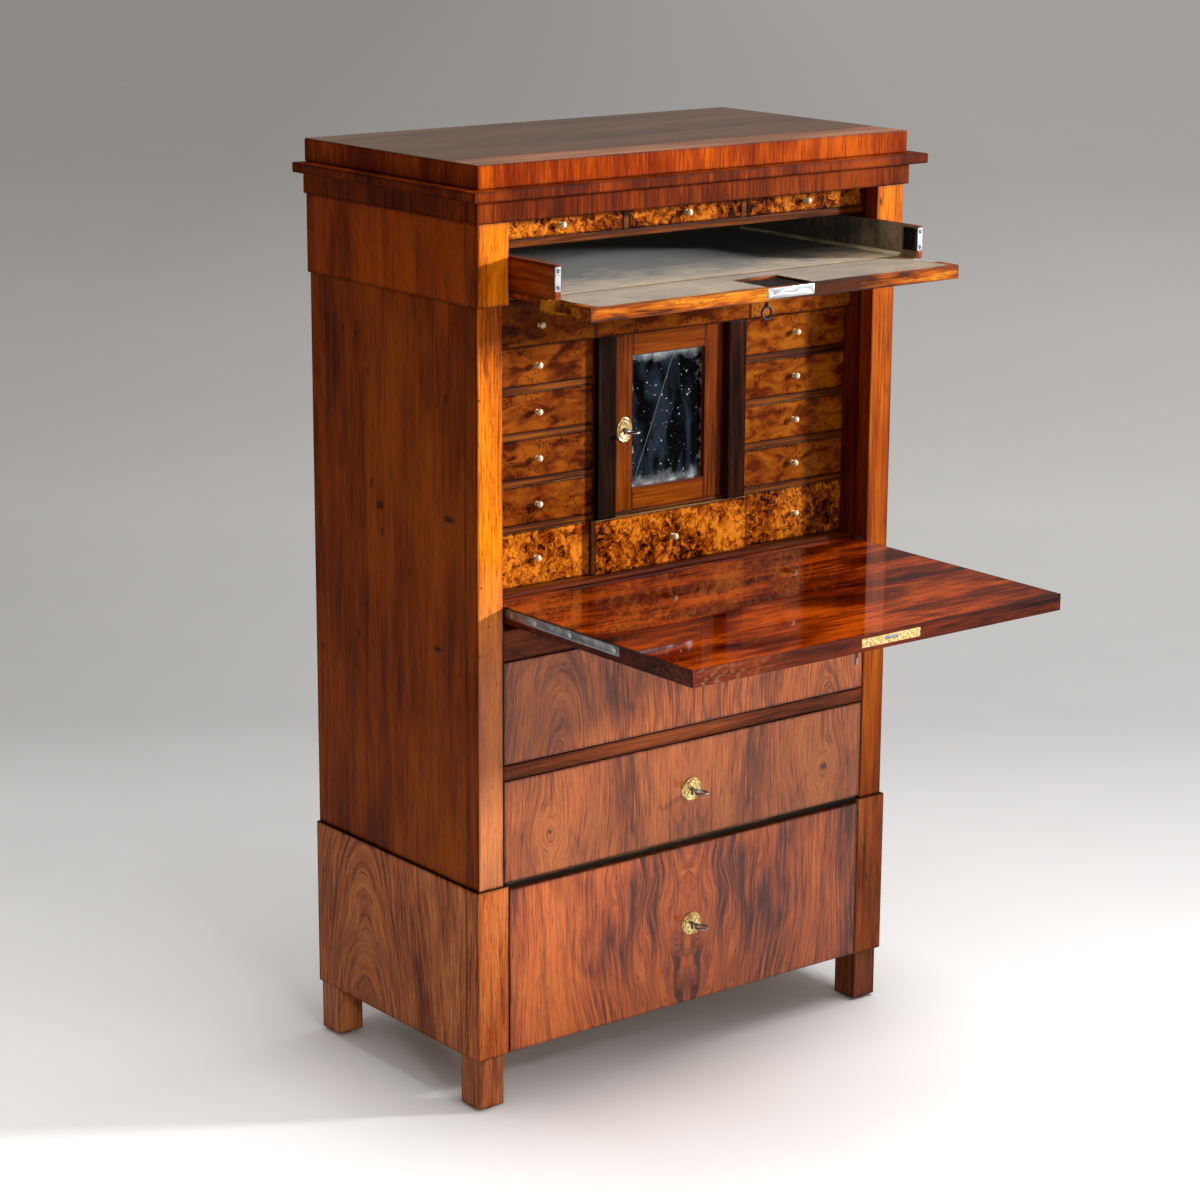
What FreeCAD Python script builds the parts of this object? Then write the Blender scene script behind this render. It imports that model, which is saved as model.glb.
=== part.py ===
"""Fall-front escritoire with a writing tray in its frieze.

Millimetres. X runs to the right, Y to the back and Z up. The front of the body is the plane Y = 0,
and the floor is Z = 0. The fall front is open, the tray drawn out and its drop front folded down.
"""
import FreeCAD
import Part
import os
import re

SIZES = {
    # Case, from the floor up: heights of the stacked sections
    "glide_height": 4, "foot_height": 79, "base_height": 262, "body_height": 856.5,
    "frieze_height": 117.5, "fascia_height": 32, "cornice_height": 15, "crown_height": 34,
    # The body's half width, and how far the other sections stand out beside and before it
    "body_half": 395, "base_side_step": 5.5, "frieze_side_step": 5, "fascia_side_step": 10,
    "cornice_side_step": 29, "crown_side_step": 7,
    "base_step": 4, "frieze_step": 10, "fascia_step": 16, "cornice_step": 37, "crown_step": 13,
    "back_plane": 422,
    # Feet
    "foot_width": 45, "foot_side_inset": 5.5, "foot_front_inset": 6, "glide_radius": 16,
    # Boards of the case
    "panel_thick": 22, "stile_depth": 28, "back_thick": 12, "base_floor_thick": 12,
    "base_stile_width": 56.2, "body_stile_width": 44.3, "frieze_stile_width": 53.8,
    "deck_thick": 6.5, "deck_rise": 2.5, "case_top_thick": 12, "fascia_thick": 24, "top_front_width": 75,
    # Large drawers
    "middle_opening": 158.5, "drawer_rail_height": 21.3, "flap_rail_height": 45,
    "runner_width": 43, "guide_height": 25, "guide_gap": 0.5,
    "front_thick": 22, "front_gap": 2, "side_gap": 1.7, "slide_gap": 0.5,
    "drawer_side_thick": 12, "drawer_bottom_thick": 8, "drawer_bottom_rise": 6, "drawer_side_drop": 16,
    "drawer_back_gap": 14,
    # Fall front, its pivot, arms and threshold
    "writing_height": 766, "flap_thick": 24.5, "flap_gap": 3.2, "flap_top_gap": 2.5, "flap_heel": 40,
    "pivot_drop": 6.75, "heel_clear": 0.8, "pin_radius": 3, "running_gap": 0.05,
    "plate_thick": 2.5, "plate_size": 19, "pin_end_gap": 0.5,
    "arm_thick": 4, "arm_height": 14, "arm_drop": 2.25, "arm_eye": 9, "arm_reach": 264,
    "screw_radius": 2.8, "screw_length": 16,
    "threshold_rise": 6, "threshold_lap": 4, "threshold_back": 10, "threshold_gap": 0.3,
    # Writing interior
    "interior_floor_thick": 20, "bottom_row_height": 83, "top_row_height": 61,
    "column_plane": 60, "proud_step": 11, "shelf_thick": 9, "top_floor_thick": 6, "centre_deck_thick": 4,
    "pilaster_inner": 107.5, "pilaster_width": 34, "partition_thick": 8, "partition_back": 12,
    "row_joint": 147.4, "tray_deck_thick": 12, "tray_deck_drop": 1.5, "tray_deck_front": 26,
    # Small drawers and their bone knobs
    "small_front": 10, "small_gap": 0.5, "small_lift": 0.4, "small_side": 5, "small_bottom": 4,
    "small_side_drop": 6, "small_depth": 320, "frieze_plane": 25, "frieze_depth": 240,
    "knob_rose_radius": 3.6, "knob_rose_height": 1.6, "knob_neck_radius": 2.2, "knob_neck_height": 6,
    "knob_radius": 4.8,
    # Cupboard door
    "door_gap": 4.5, "door_lift": 0.4, "door_thick": 18, "door_frame_width": 34, "mirror_rebate": 6,
    "mirror_depth": 8, "mirror_thick": 3, "backing_thick": 5, "door_pin_radius": 1.5,
    "door_pin_inset": 4, "door_pin_depth": 5, "door_pin_grip": 6, "door_pin_reach": 3,
    # Frieze, writing tray and its drop front
    "frieze_drawer_height": 33, "frieze_shelf_thick": 11, "divider_inner": 106, "divider_thick": 10,
    "tray_out": 106.5, "tray_gap": 2.2, "tray_side_thick": 10, "tray_side_height": 48.6,
    "tray_bottom_thick": 10, "tray_lift": 0.4, "tray_back_gap": 3, "tray_runner_width": 40,
    "tray_runner_front": 30, "lining_thick": 1,
    "drop_thick": 20.5, "drop_lip": 18, "drop_low_gap": 1.5, "drop_top_gap": 2, "front_cover": 3.5,
    "lip_gap": 0.5, "lining_edge": 6, "end_gap": 0.5,
    "catch_thick": 2, "catch_height": 34, "catch_edge": 3, "catch_box_thick": 3, "catch_box_length": 26,
    # Locks and keys
    "lock_x": 3, "case_width": 64, "case_height": 50, "case_thick": 10, "chamber_radius": 6.5,
    "chamber_depth": 5, "escutcheon_radius": 19, "escutcheon_thick": 3,
    "flap_lock_x": 12, "flap_plate_width": 111, "flap_plate_height": 13, "flap_plate_thick": 2.5,
    "flap_case_width": 86, "flap_case_depth": 80, "flap_case_thick": 15, "flap_key_back": 71,
    "drop_lock_x": 16.5, "drop_plate_width": 87, "drop_plate_height": 15, "drop_plate_thick": 2,
    "drop_plate_drop": 9.5, "drop_case_depth": 84, "drop_case_thick": 12, "drop_case_sink": 4,
    "drop_key_x": 0, "drop_key_back": 34, "drop_bolt_x": 14,
    "bolt_width": 24, "bolt_thick": 5, "bolt_length": 28, "bolt_throw": 6, "bolt_gap": 0.3,
    "flap_bolt_rise": 1.75, "drop_bolt_drop": 7.5,
    "door_lock_x": 85, "door_oval_wide": 14.5, "door_oval_tall": 20, "door_oval_thick": 2.5,
    "door_case_width": 18, "door_case_height": 46, "door_lock_drop": 10,
    "stem_radius": 2.3, "stem_gap": 0.1, "collar_radius": 3.6, "collar_length": 3,
    "bow_radius": 9, "bow_wire": 1.9, "bit_height": 5.5, "bit_thick": 2, "bit_length": 3,
    "drawer_key_inside": 18.5, "drawer_key_outside": 13, "door_key_inside": 14, "door_key_outside": 11,
    "flap_key_inside": 10, "flap_key_outside": 24, "drop_key_inside": 10, "drop_key_outside": 14,
}
COLUMN_DRAWERS = 4
BACK_BOARDS = 3
ARM_SCREW_STATIONS = (0.064, 0.272, 0.583, 0.962)
FLAP_KEY_SPIN = -52

doc = FreeCAD.newDocument("escritoire")
sheet = doc.addObject("Spreadsheet::Sheet", "sizes")
for row, (alias, value) in enumerate(SIZES.items(), start=1):
    sheet.set(f"A{row}", alias)
    sheet.set(f"B{row}", str(value))
    sheet.setAlias(f"B{row}", alias)
doc.recompute()

VECTOR = FreeCAD.Vector
TURNS = {
    "+x": FreeCAD.Rotation(VECTOR(0, 1, 0), 90),
    "-x": FreeCAD.Rotation(VECTOR(0, 1, 0), -90),
    "+y": FreeCAD.Rotation(VECTOR(1, 0, 0), -90),
    "-y": FreeCAD.Rotation(VECTOR(1, 0, 0), 90),
    "+z": FreeCAD.Rotation(),
    "-z": FreeCAD.Rotation(VECTOR(1, 0, 0), 180),
}
nodes = []


def bind(thing, name, text):
    """Tie a property to a formula whose words are cells of the sheet."""
    formula = re.sub(r"[a-z][a-z_]+", lambda m: f"sizes.{m[0]}" if m[0] in SIZES else m[0], str(text))
    thing.setExpression(name, formula)


def place(thing, at, way="+z", spin=0):
    """Turn a thing's own Z to a direction and put its origin at a point given by three formulas."""
    thing.Placement = FreeCAD.Placement(VECTOR(), TURNS[way] * FreeCAD.Rotation(VECTOR(0, 0, 1), spin))
    for axis, text in zip("xyz", at):
        bind(thing, f".Placement.Base.{axis}", text)
    return thing


def board(x, y, z):
    """A square-edged board between two formulas on each axis."""
    thing = doc.addObject("Part::Box", "board")
    for size, (low, high) in zip(("Length", "Width", "Height"), (x, y, z)):
        bind(thing, size, f"({high}) - ({low})")
    return place(thing, (x[0], y[0], z[0]))


def pair(x, y, z):
    """A board on the right and its twin on the left."""
    return [board(x, y, z), board((f"-({x[1]})", f"-({x[0]})"), y, z)]


def across(half, y, z):
    """A board centred on X = 0."""
    return board((f"-({half})", half), y, z)


def about(centre, width):
    """The two ends of a width centred on a formula."""
    return (f"{centre} - ({width}) / 2", f"{centre} + ({width}) / 2")


def rod(at, way, radius, length):
    """A round rod from a point in a direction."""
    thing = doc.addObject("Part::Cylinder", "rod")
    bind(thing, "Radius", radius)
    bind(thing, "Height", length)
    return place(thing, at, way)


def fuse(*pieces):
    """One solid of several that overlap."""
    thing = doc.addObject("Part::MultiFuse", "fuse")
    thing.Shapes = list(pieces)
    return thing


def cut(piece, *tools):
    """A piece with every tool taken out of it."""
    thing = doc.addObject("Part::Cut", "cut")
    thing.Base = piece
    thing.Tool = tools[0] if len(tools) == 1 else fuse(*tools)
    return thing


def node(label, *pieces):
    """A named sub-part of one or more separate solids."""
    thing = doc.addObject("Part::Compound", "node")
    thing.Label = label
    thing.Links = list(pieces)
    nodes.append(thing)


# Levels of the case, and the inner faces that its stiles and panels give
feet_top = "(glide_height + foot_height)"
base_top = f"({feet_top} + base_height)"
body_top = f"({base_top} + body_height)"
frieze_top = f"({body_top} + frieze_height)"
fascia_top = f"({frieze_top} + fascia_height)"
cornice_top = f"({fascia_top} + cornice_height)"
crown_top = f"({cornice_top} + crown_height)"
base_half = "(body_half + base_side_step)"
frieze_half = "(body_half + frieze_side_step)"
fascia_half = "(body_half + fascia_side_step)"
cornice_half = "(body_half + cornice_side_step)"
crown_half = "(body_half + crown_side_step)"
base_inner = f"({base_half} - base_stile_width)"
body_inner = "(body_half - body_stile_width)"
frieze_inner = f"({frieze_half} - frieze_stile_width)"
base_wall = f"({base_half} - panel_thick)"
body_wall = "(body_half - panel_thick)"
frieze_wall = f"({frieze_half} - panel_thick)"
back_inner = "(back_plane - back_thick)"
base_stile_back = "(stile_depth - base_step)"
frieze_stile_back = "(stile_depth - frieze_step)"

# Feet on glides
foot_outer = f"({base_half} - foot_side_inset)"
foot_front = "(foot_front_inset - base_step)"
foot_x = (f"{foot_outer} - foot_width", foot_outer)
foot_rows = ((foot_front, f"{foot_front} + foot_width"), ("back_plane - foot_width", "back_plane"))
feet = []
glides = []
for front, back in foot_rows:
    feet += pair(foot_x, (front, back), ("glide_height", feet_top))
    for side in ("", "-"):
        centre = (f"{side}({foot_outer} - foot_width / 2)", f"{front} + foot_width / 2", "0")
        glides.append(rod(centre, "+z", "glide_radius", "glide_height"))
node("feet", *feet)
node("foot_glides", *glides)

# Sides, stiles and back of the three stacked sections
sections = (
    (base_half, base_wall, base_inner, "-base_step", base_stile_back, feet_top, base_top),
    ("body_half", body_wall, body_inner, "0", "stile_depth", base_top, body_top),
    (frieze_half, frieze_wall, frieze_inner, "-frieze_step", frieze_stile_back, body_top, frieze_top),
)
sides = []
stiles = []
for half, wall, inner, front, stile_back, low, high in sections:
    sides += pair((wall, half), (stile_back, "back_plane"), (low, high))
    stiles += pair((inner, half), (front, stile_back), (low, high))
node("side_panels", *sides)
node("corner_stiles", *stiles)
back_width = f"(2 * {body_wall} / {BACK_BOARDS})"
backs = []
for count in range(BACK_BOARDS):
    left = f"{count} * {back_width} - {body_wall}"
    backs.append(board((left, f"{left} + {back_width}"), (back_inner, "back_plane"), (feet_top, frieze_top)))
node("back_boards", *backs)

# Levels of the large drawers and of the fall front above them
pivot_z = "(writing_height - pivot_drop)"
pivot_y = "(flap_thick - pivot_drop)"
heel_sweep = f"sqrt((flap_heel - {pivot_y})^2 + (flap_thick - pivot_drop)^2)"
flap_rail_top = f"({pivot_z} - {heel_sweep} - heel_clear)"
flap_rail_low = f"({flap_rail_top} - flap_rail_height)"
base_floor_top = f"({feet_top} + base_floor_thick)"
deck_top = f"({base_top} + deck_rise)"
deck_low = f"({deck_top} - deck_thick)"
rail_low = f"({deck_top} + middle_opening)"
rail_top = f"({rail_low} + drawer_rail_height)"

node(
    "base_boards",
    across(base_wall, (base_stile_back, back_inner), (feet_top, base_floor_top)),
    across(base_inner, ("0", back_inner), (deck_low, deck_top)),
)
node(
    "drawer_rails",
    across(body_inner, ("0", "stile_depth"), (rail_low, rail_top)),
    across(body_inner, ("0", "stile_depth"), (flap_rail_low, flap_rail_top)),
)

# Runners and guides, set from the width of the drawer that they carry
body_front_half = f"({body_inner} - side_gap)"
base_front_half = f"({base_inner} - side_gap)"
body_box_half = f"({body_front_half} - slide_gap)"
base_box_half = f"({base_front_half} - slide_gap)"
body_guide = (f"{body_box_half} + guide_gap", body_wall)
base_guide = (f"{base_box_half} + guide_gap", base_wall)
drop_level = f"({body_top} + drop_low_gap + drop_lip)"
tray_floor_top = f"({drop_level} + tray_lift)"
tray_floor_low = f"({tray_floor_top} - tray_bottom_thick)"
tray_half = f"({frieze_inner} - tray_gap)"
tray_deck_top = f"({body_top} - tray_deck_drop)"
tray_deck_low = f"({tray_deck_top} - tray_deck_thick)"
frieze_shelf_top = f"({frieze_top} - frieze_drawer_height)"
frieze_shelf_low = f"({frieze_shelf_top} - frieze_shelf_thick)"
node(
    "runners",
    *pair((f"{body_wall} - runner_width", body_wall), ("stile_depth", back_inner), (rail_low, rail_top)),
    *pair(body_guide, ("stile_depth", back_inner), (rail_top, f"{rail_top} + guide_height")),
    *pair(body_guide, ("stile_depth", back_inner), (base_top, f"{base_top} + guide_height")),
    *pair(base_guide, (base_stile_back, back_inner), (base_floor_top, f"{base_floor_top} + guide_height")),
    *pair(
        (f"{tray_half} - tray_runner_width", tray_half),
        ("tray_runner_front", back_inner),
        (tray_deck_top, f"{tray_floor_low} - tray_lift"),
    ),
)
node(
    "inner_liners",
    *pair((body_inner, body_wall), ("stile_depth", back_inner), (flap_rail_low, tray_deck_top)),
    *pair((frieze_inner, frieze_wall), (frieze_stile_back, back_inner), (body_top, frieze_shelf_low)),
    *pair((frieze_inner, frieze_wall), (frieze_stile_back, back_inner), (frieze_shelf_top, frieze_top)),
)

# Writing interior: floor, decks, shelves and partitions
floor_top = "(writing_height + threshold_rise)"
floor_front = "(flap_heel + threshold_back)"
columns_low = f"({floor_top} + bottom_row_height)"
columns_top = f"({tray_deck_low} - top_row_height)"
pitch = f"(({columns_top} - {columns_low}) / {COLUMN_DRAWERS})"
top_floor = f"({columns_top} + top_floor_thick)"
centre_deck_top = f"({columns_low} + centre_deck_thick)"
pilaster_outer = "(pilaster_inner + pilaster_width)"
proud_plane = "(column_plane - proud_step)"
partition_front = "(column_plane + partition_back)"
row_partition = (pilaster_outer, f"{pilaster_outer} + partition_thick")
door_half = "(pilaster_inner - door_gap)"
door_low = f"({centre_deck_top} + door_lift)"
door_top = f"({columns_top} - door_lift)"
door_pin_x = f"({door_half} - door_pin_inset)"
door_pin_y = "(column_plane + door_pin_depth)"
door_pin_hole = "door_pin_radius + running_gap"

shelves = [
    across(body_inner, (floor_front, back_inner), (f"{floor_top} - interior_floor_thick", floor_top)),
    cut(
        across(pilaster_outer, ("column_plane", back_inner), (columns_low, centre_deck_top)),
        rod((door_pin_x, door_pin_y, columns_low), "+z", door_pin_hole, "centre_deck_thick"),
    ),
    cut(
        across(body_inner, ("column_plane", back_inner), (columns_top, top_floor)),
        rod((door_pin_x, door_pin_y, columns_top), "+z", door_pin_hole, "top_floor_thick"),
    ),
    across(body_inner, ("tray_deck_front", back_inner), (tray_deck_low, tray_deck_top)),
]
for count in range(COLUMN_DRAWERS):
    low = f"{columns_low} + {count} * {pitch}"
    shelves += pair((pilaster_outer, body_inner), ("column_plane", back_inner), (low, f"{low} + shelf_thick"))
node("interior_shelves", *shelves)
inner_partition = ("pilaster_inner", "pilaster_inner + partition_thick")
outer_partition = (f"{pilaster_outer} - partition_thick", pilaster_outer)
node(
    "interior_partitions",
    *pair(row_partition, (partition_front, back_inner), (floor_top, columns_low)),
    *pair(inner_partition, ("column_plane", back_inner), (centre_deck_top, columns_top)),
    *pair(outer_partition, ("column_plane", back_inner), (centre_deck_top, columns_top)),
    *pair(row_partition, (partition_front, back_inner), (top_floor, tray_deck_low)),
)
node(
    "threshold_strip",
    across(
        body_inner,
        ("flap_heel - threshold_lap", floor_front),
        ("writing_height + threshold_gap", floor_top),
    ),
)
node(
    "pilasters",
    *pair(("pilaster_inner", pilaster_outer), (proud_plane, "column_plane"), (columns_low, columns_top)),
)

# Frieze shelf and dividers, fascia, cornice and top
divider = ("divider_inner", "divider_inner + divider_thick")
node(
    "frieze_shelf",
    across(frieze_wall, ("frieze_plane", back_inner), (frieze_shelf_low, frieze_shelf_top)),
    *pair(divider, ("frieze_plane", back_inner), (frieze_shelf_top, frieze_top)),
)
fascia_back = "(fascia_thick - fascia_step)"
drop_pivot_y = "(drop_thick - frieze_step - tray_out)"
drop_bolt_closed = "(drop_thick - frieze_step - drop_bolt_drop)"
strike = board(
    about("drop_bolt_x", "bolt_width + 4 * bolt_gap"),
    about(drop_bolt_closed, "bolt_thick + 4 * bolt_gap"),
    (f"{frieze_top} - bolt_gap", f"{frieze_top} + bolt_throw + bolt_gap"),
)
fascia_inner = f"({fascia_half} - fascia_thick)"
node(
    "fascia_boards",
    cut(across(fascia_half, ("-fascia_step", fascia_back), (frieze_top, fascia_top)), strike),
    *pair((fascia_inner, fascia_half), (fascia_back, "back_plane"), (frieze_top, fascia_top)),
    across(fascia_inner, (fascia_back, "back_plane"), (frieze_top, f"{frieze_top} + case_top_thick")),
)
node("cornice_slab", across(cornice_half, ("-cornice_step", "back_plane"), (fascia_top, cornice_top)))
top_joint = "(top_front_width - crown_step)"
node(
    "top_boards",
    across(crown_half, ("-crown_step", top_joint), (cornice_top, crown_top)),
    across(crown_half, (top_joint, "back_plane"), (cornice_top, crown_top)),
)


def key(label, at, way, inside, outside, spin=0):
    """A steel key: stem, bit, collar and ring bow. Its stem leaves the wood at the point."""
    stem = rod(("0", "0", f"-({inside})"), "+z", "stem_radius", f"{inside} + {outside} + bow_wire")
    collar = rod(("0", "0", f"{outside} - collar_length"), "+z", "collar_radius", "collar_length")
    bit = board(about("0", "bit_thick"), ("0", "bit_height"), (f"-({inside})", f"bit_length - ({inside})"))
    bow = doc.addObject("Part::Torus", "bow")
    bind(bow, "Radius1", "bow_radius")
    bind(bow, "Radius2", "bow_wire")
    place(bow, ("0", "0", f"{outside} + bow_radius"), "-y")
    node(label, place(fuse(stem, collar, bit, bow), at, way, spin))


def keyhole(at, way, length):
    """The drilling that a key's stem turns in."""
    return rod(at, way, "stem_radius + stem_gap", length)


# Fall front with hinge arms, lock, bolt and key
flap_half = f"({body_inner} - flap_gap)"
flap_front = f"({pivot_y} - ({body_top} - flap_top_gap - {pivot_z}))"
flap_low = "(writing_height - flap_thick)"
plate_face = f"({body_inner} - plate_thick)"
arm_face = f"({flap_half} - arm_thick)"
plates = []
arms = []
arm_beds = []
screws = []
screw_holes = []
for side, inward in (("", "-x"), ("-", "+x")):
    pin = rod(
        (f"{side}({plate_face})", pivot_y, pivot_z),
        inward,
        "pin_radius",
        f"{plate_face} - {arm_face} - pin_end_gap",
    )
    plate_x = (plate_face, body_inner) if not side else (f"-{body_inner}", f"-{plate_face}")
    plate = board(plate_x, about(pivot_y, "plate_size"), about(pivot_z, "plate_size"))
    plates.append(fuse(plate, pin))
    arm_x = (arm_face, flap_half) if not side else (f"-{flap_half}", f"-{arm_face}")
    arm_size = (("-arm_reach", f"{pivot_y} + arm_eye"), about(f"{pivot_z} - arm_drop", "arm_height"))
    eye = rod((f"{side}({flap_half})", pivot_y, pivot_z), inward, "pin_radius + running_gap", "arm_thick")
    holes = [eye]
    for station in ARM_SCREW_STATIONS:
        at = (f"{side}({flap_half})", f"-arm_reach * {station}", f"{pivot_z} - arm_drop")
        screws.append(rod(at, inward, "screw_radius", "screw_length"))
        holes.append(rod(at, inward, "screw_radius", "arm_thick"))
        screw_holes.append(rod(at, inward, "screw_radius", "screw_length"))
    arms.append(cut(board(arm_x, *arm_size), *holes))
    arm_beds.append(board(arm_x, *arm_size))
node("pivot_plates", *plates)
flap_middle = "(writing_height - flap_thick / 2)"
flap_bolt_z = f"({flap_middle} + flap_bolt_rise)"
flap_key_y = f"({flap_front} + flap_key_back)"
flap_plate_size = (
    about("flap_lock_x", "flap_plate_width"),
    (flap_front, f"{flap_front} + flap_plate_thick"),
    about(flap_middle, "flap_plate_height"),
)
flap_case_size = (
    about("flap_lock_x", "flap_case_width"),
    (f"{flap_front} + flap_plate_thick", f"{flap_front} + flap_case_depth"),
    about(flap_middle, "flap_case_thick"),
)


def bolt_way(x, front, z):
    """The channel that a lock's bolt slides in, open at the front edge."""
    return board(
        about(x, "bolt_width + 2 * bolt_gap"),
        (f"{front} - bolt_gap", f"{front} + bolt_length + bolt_gap"),
        about(z, "bolt_thick + 2 * bolt_gap"),
    )


flap_keyway = keyhole(("flap_lock_x", flap_key_y, flap_low), "+z", "flap_thick / 2")
flap_plate_screws = []
for side in ("+", "-"):
    screw_x = f"flap_lock_x {side} (flap_plate_width / 2 - 2 * screw_radius)"
    flap_plate_screws.append(rod((screw_x, flap_front, flap_middle), "+y", "screw_radius", "screw_length"))
node(
    "fall_front",
    cut(
        across(flap_half, (flap_front, "flap_heel"), (flap_low, "writing_height")),
        *arm_beds,
        *screw_holes,
        *flap_plate_screws,
        board(*flap_plate_size),
        board(*flap_case_size),
        flap_keyway,
    ),
)
node("hinge_arms", *arms, *screws)
node(
    "flap_lock",
    cut(board(*flap_plate_size), bolt_way("flap_lock_x", flap_front, flap_bolt_z), *flap_plate_screws),
    cut(
        board(*flap_case_size),
        bolt_way("flap_lock_x", flap_front, flap_bolt_z),
        flap_keyway,
        rod(
            ("flap_lock_x", flap_key_y, f"{flap_low} + flap_key_inside - bit_length - bolt_gap"),
            "+z",
            "chamber_radius",
            "chamber_depth",
        ),
    ),
    *flap_plate_screws,
)
node(
    "flap_bolt",
    board(
        about("flap_lock_x", "bolt_width"),
        (flap_front, f"{flap_front} + bolt_length"),
        about(flap_bolt_z, "bolt_thick"),
    ),
)
key(
    "flap_key",
    ("flap_lock_x", flap_key_y, flap_low),
    "-z",
    "flap_key_inside",
    "flap_key_outside",
    FLAP_KEY_SPIN,
)

# Writing tray: bottom, sides and back, lining, and the catches on the side ends
side_end = "(front_cover - frieze_step - tray_out)"
tray_back = f"({back_inner} - tray_out - tray_back_gap)"
tray_side_top = f"({tray_floor_top} + tray_side_height)"
tray_inner = f"({tray_half} - tray_side_thick)"
tray_front = f"({drop_pivot_y} + drop_lip + lip_gap)"
catch_z = (f"{tray_side_top} - catch_edge - catch_height", f"{tray_side_top} - catch_edge")
catch_y = (side_end, f"{side_end} + catch_thick")
box_x = (f"{tray_inner} - catch_box_thick", tray_inner)
box_y = (f"{side_end} + catch_thick", f"{side_end} + catch_thick + catch_box_length")
tray_sides = []
for side, bed in zip(
    pair((tray_inner, tray_half), (side_end, tray_back), (tray_floor_top, tray_side_top)),
    pair((tray_inner, tray_half), catch_y, catch_z),
):
    tray_sides.append(cut(side, bed))
node(
    "tray_box",
    across(tray_half, (tray_front, tray_back), (tray_floor_low, tray_floor_top)),
    *tray_sides,
    across(tray_inner, (f"{tray_back} - tray_side_thick", tray_back), (tray_floor_top, tray_side_top)),
)
node(
    "tray_lining",
    across(
        tray_inner,
        (tray_front, f"{tray_back} - tray_side_thick"),
        (tray_floor_top, f"{tray_floor_top} + lining_thick"),
    ),
)
node(
    "tray_catches",
    *pair((tray_inner, tray_half), catch_y, catch_z),
    *pair(box_x, box_y, catch_z),
)

# Drop front of the tray, folded down, with its lining, lock, bolt and key
drop_edge = f"({drop_pivot_y} - ({frieze_top} - drop_top_gap - {drop_level}))"
drop_low = f"({drop_level} - drop_thick)"
notch_inner = f"({tray_inner} - catch_box_thick - end_gap)"
side_corner = "hypot(tray_side_height + tray_lift; drop_thick - front_cover)"
drop_case_low = f"({drop_level} - drop_case_sink - drop_case_thick)"
drop_bolt_z = f"({drop_level} - drop_bolt_drop)"
drop_key_y = f"({drop_edge} + drop_key_back)"
drop_plate_size = (
    about("drop_lock_x", "drop_plate_width"),
    (drop_edge, f"{drop_edge} + drop_plate_thick"),
    about(f"{drop_level} - drop_plate_drop", "drop_plate_height"),
)
drop_case_x = about("drop_lock_x", "drop_plate_width")
drop_case_y = (f"{drop_edge} + drop_plate_thick", f"{drop_edge} + drop_case_depth")
drop_well = board(drop_case_x, drop_case_y, (drop_case_low, drop_level))
lining_size = (
    (f"{drop_edge} + lining_edge", f"{drop_pivot_y} + drop_lip"),
    (f"{drop_level} - lining_thick", drop_level),
)
drop_keyway = keyhole(("drop_key_x", drop_key_y, drop_low), "+z", "drop_thick / 2")
drop_plate_screws = []
for side in ("+", "-"):
    screw_x = f"drop_lock_x {side} (drop_plate_width / 2 - 3 * screw_radius)"
    at = (screw_x, drop_edge, f"{drop_level} - drop_plate_drop")
    drop_plate_screws.append(rod(at, "+y", "screw_radius", "drop_plate_thick"))
node(
    "drop_front",
    cut(
        across(tray_half, (drop_edge, f"{drop_pivot_y} + drop_lip"), (drop_low, drop_level)),
        *pair(
            (notch_inner, f"{tray_half} + end_gap"),
            (f"{drop_pivot_y} - {side_corner} - end_gap", drop_pivot_y),
            (f"{drop_low} + front_cover - end_gap", f"{drop_level} + end_gap"),
        ),
        board(*drop_plate_size),
        drop_well,
        drop_keyway,
        across(notch_inner, *lining_size),
    ),
)
node("drop_lining", cut(across(notch_inner, *lining_size), drop_well))
node(
    "drop_lock",
    cut(board(*drop_plate_size), bolt_way("drop_bolt_x", drop_edge, drop_bolt_z), *drop_plate_screws),
    cut(
        board(drop_case_x, drop_case_y, (drop_case_low, f"{drop_level} - drop_case_sink")),
        bolt_way("drop_bolt_x", drop_edge, drop_bolt_z),
        drop_keyway,
        rod(
            ("drop_key_x", drop_key_y, f"{drop_low} + drop_key_inside - bit_length - bolt_gap"),
            "+z",
            "chamber_radius",
            "chamber_depth",
        ),
    ),
    *drop_plate_screws,
)
node(
    "drop_bolt",
    board(
        about("drop_bolt_x", "bolt_width"),
        (drop_edge, f"{drop_edge} + bolt_length"),
        about(drop_bolt_z, "bolt_thick"),
    ),
)
key("drop_key", ("drop_key_x", drop_key_y, drop_low), "-z", "drop_key_inside", "drop_key_outside")


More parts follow.
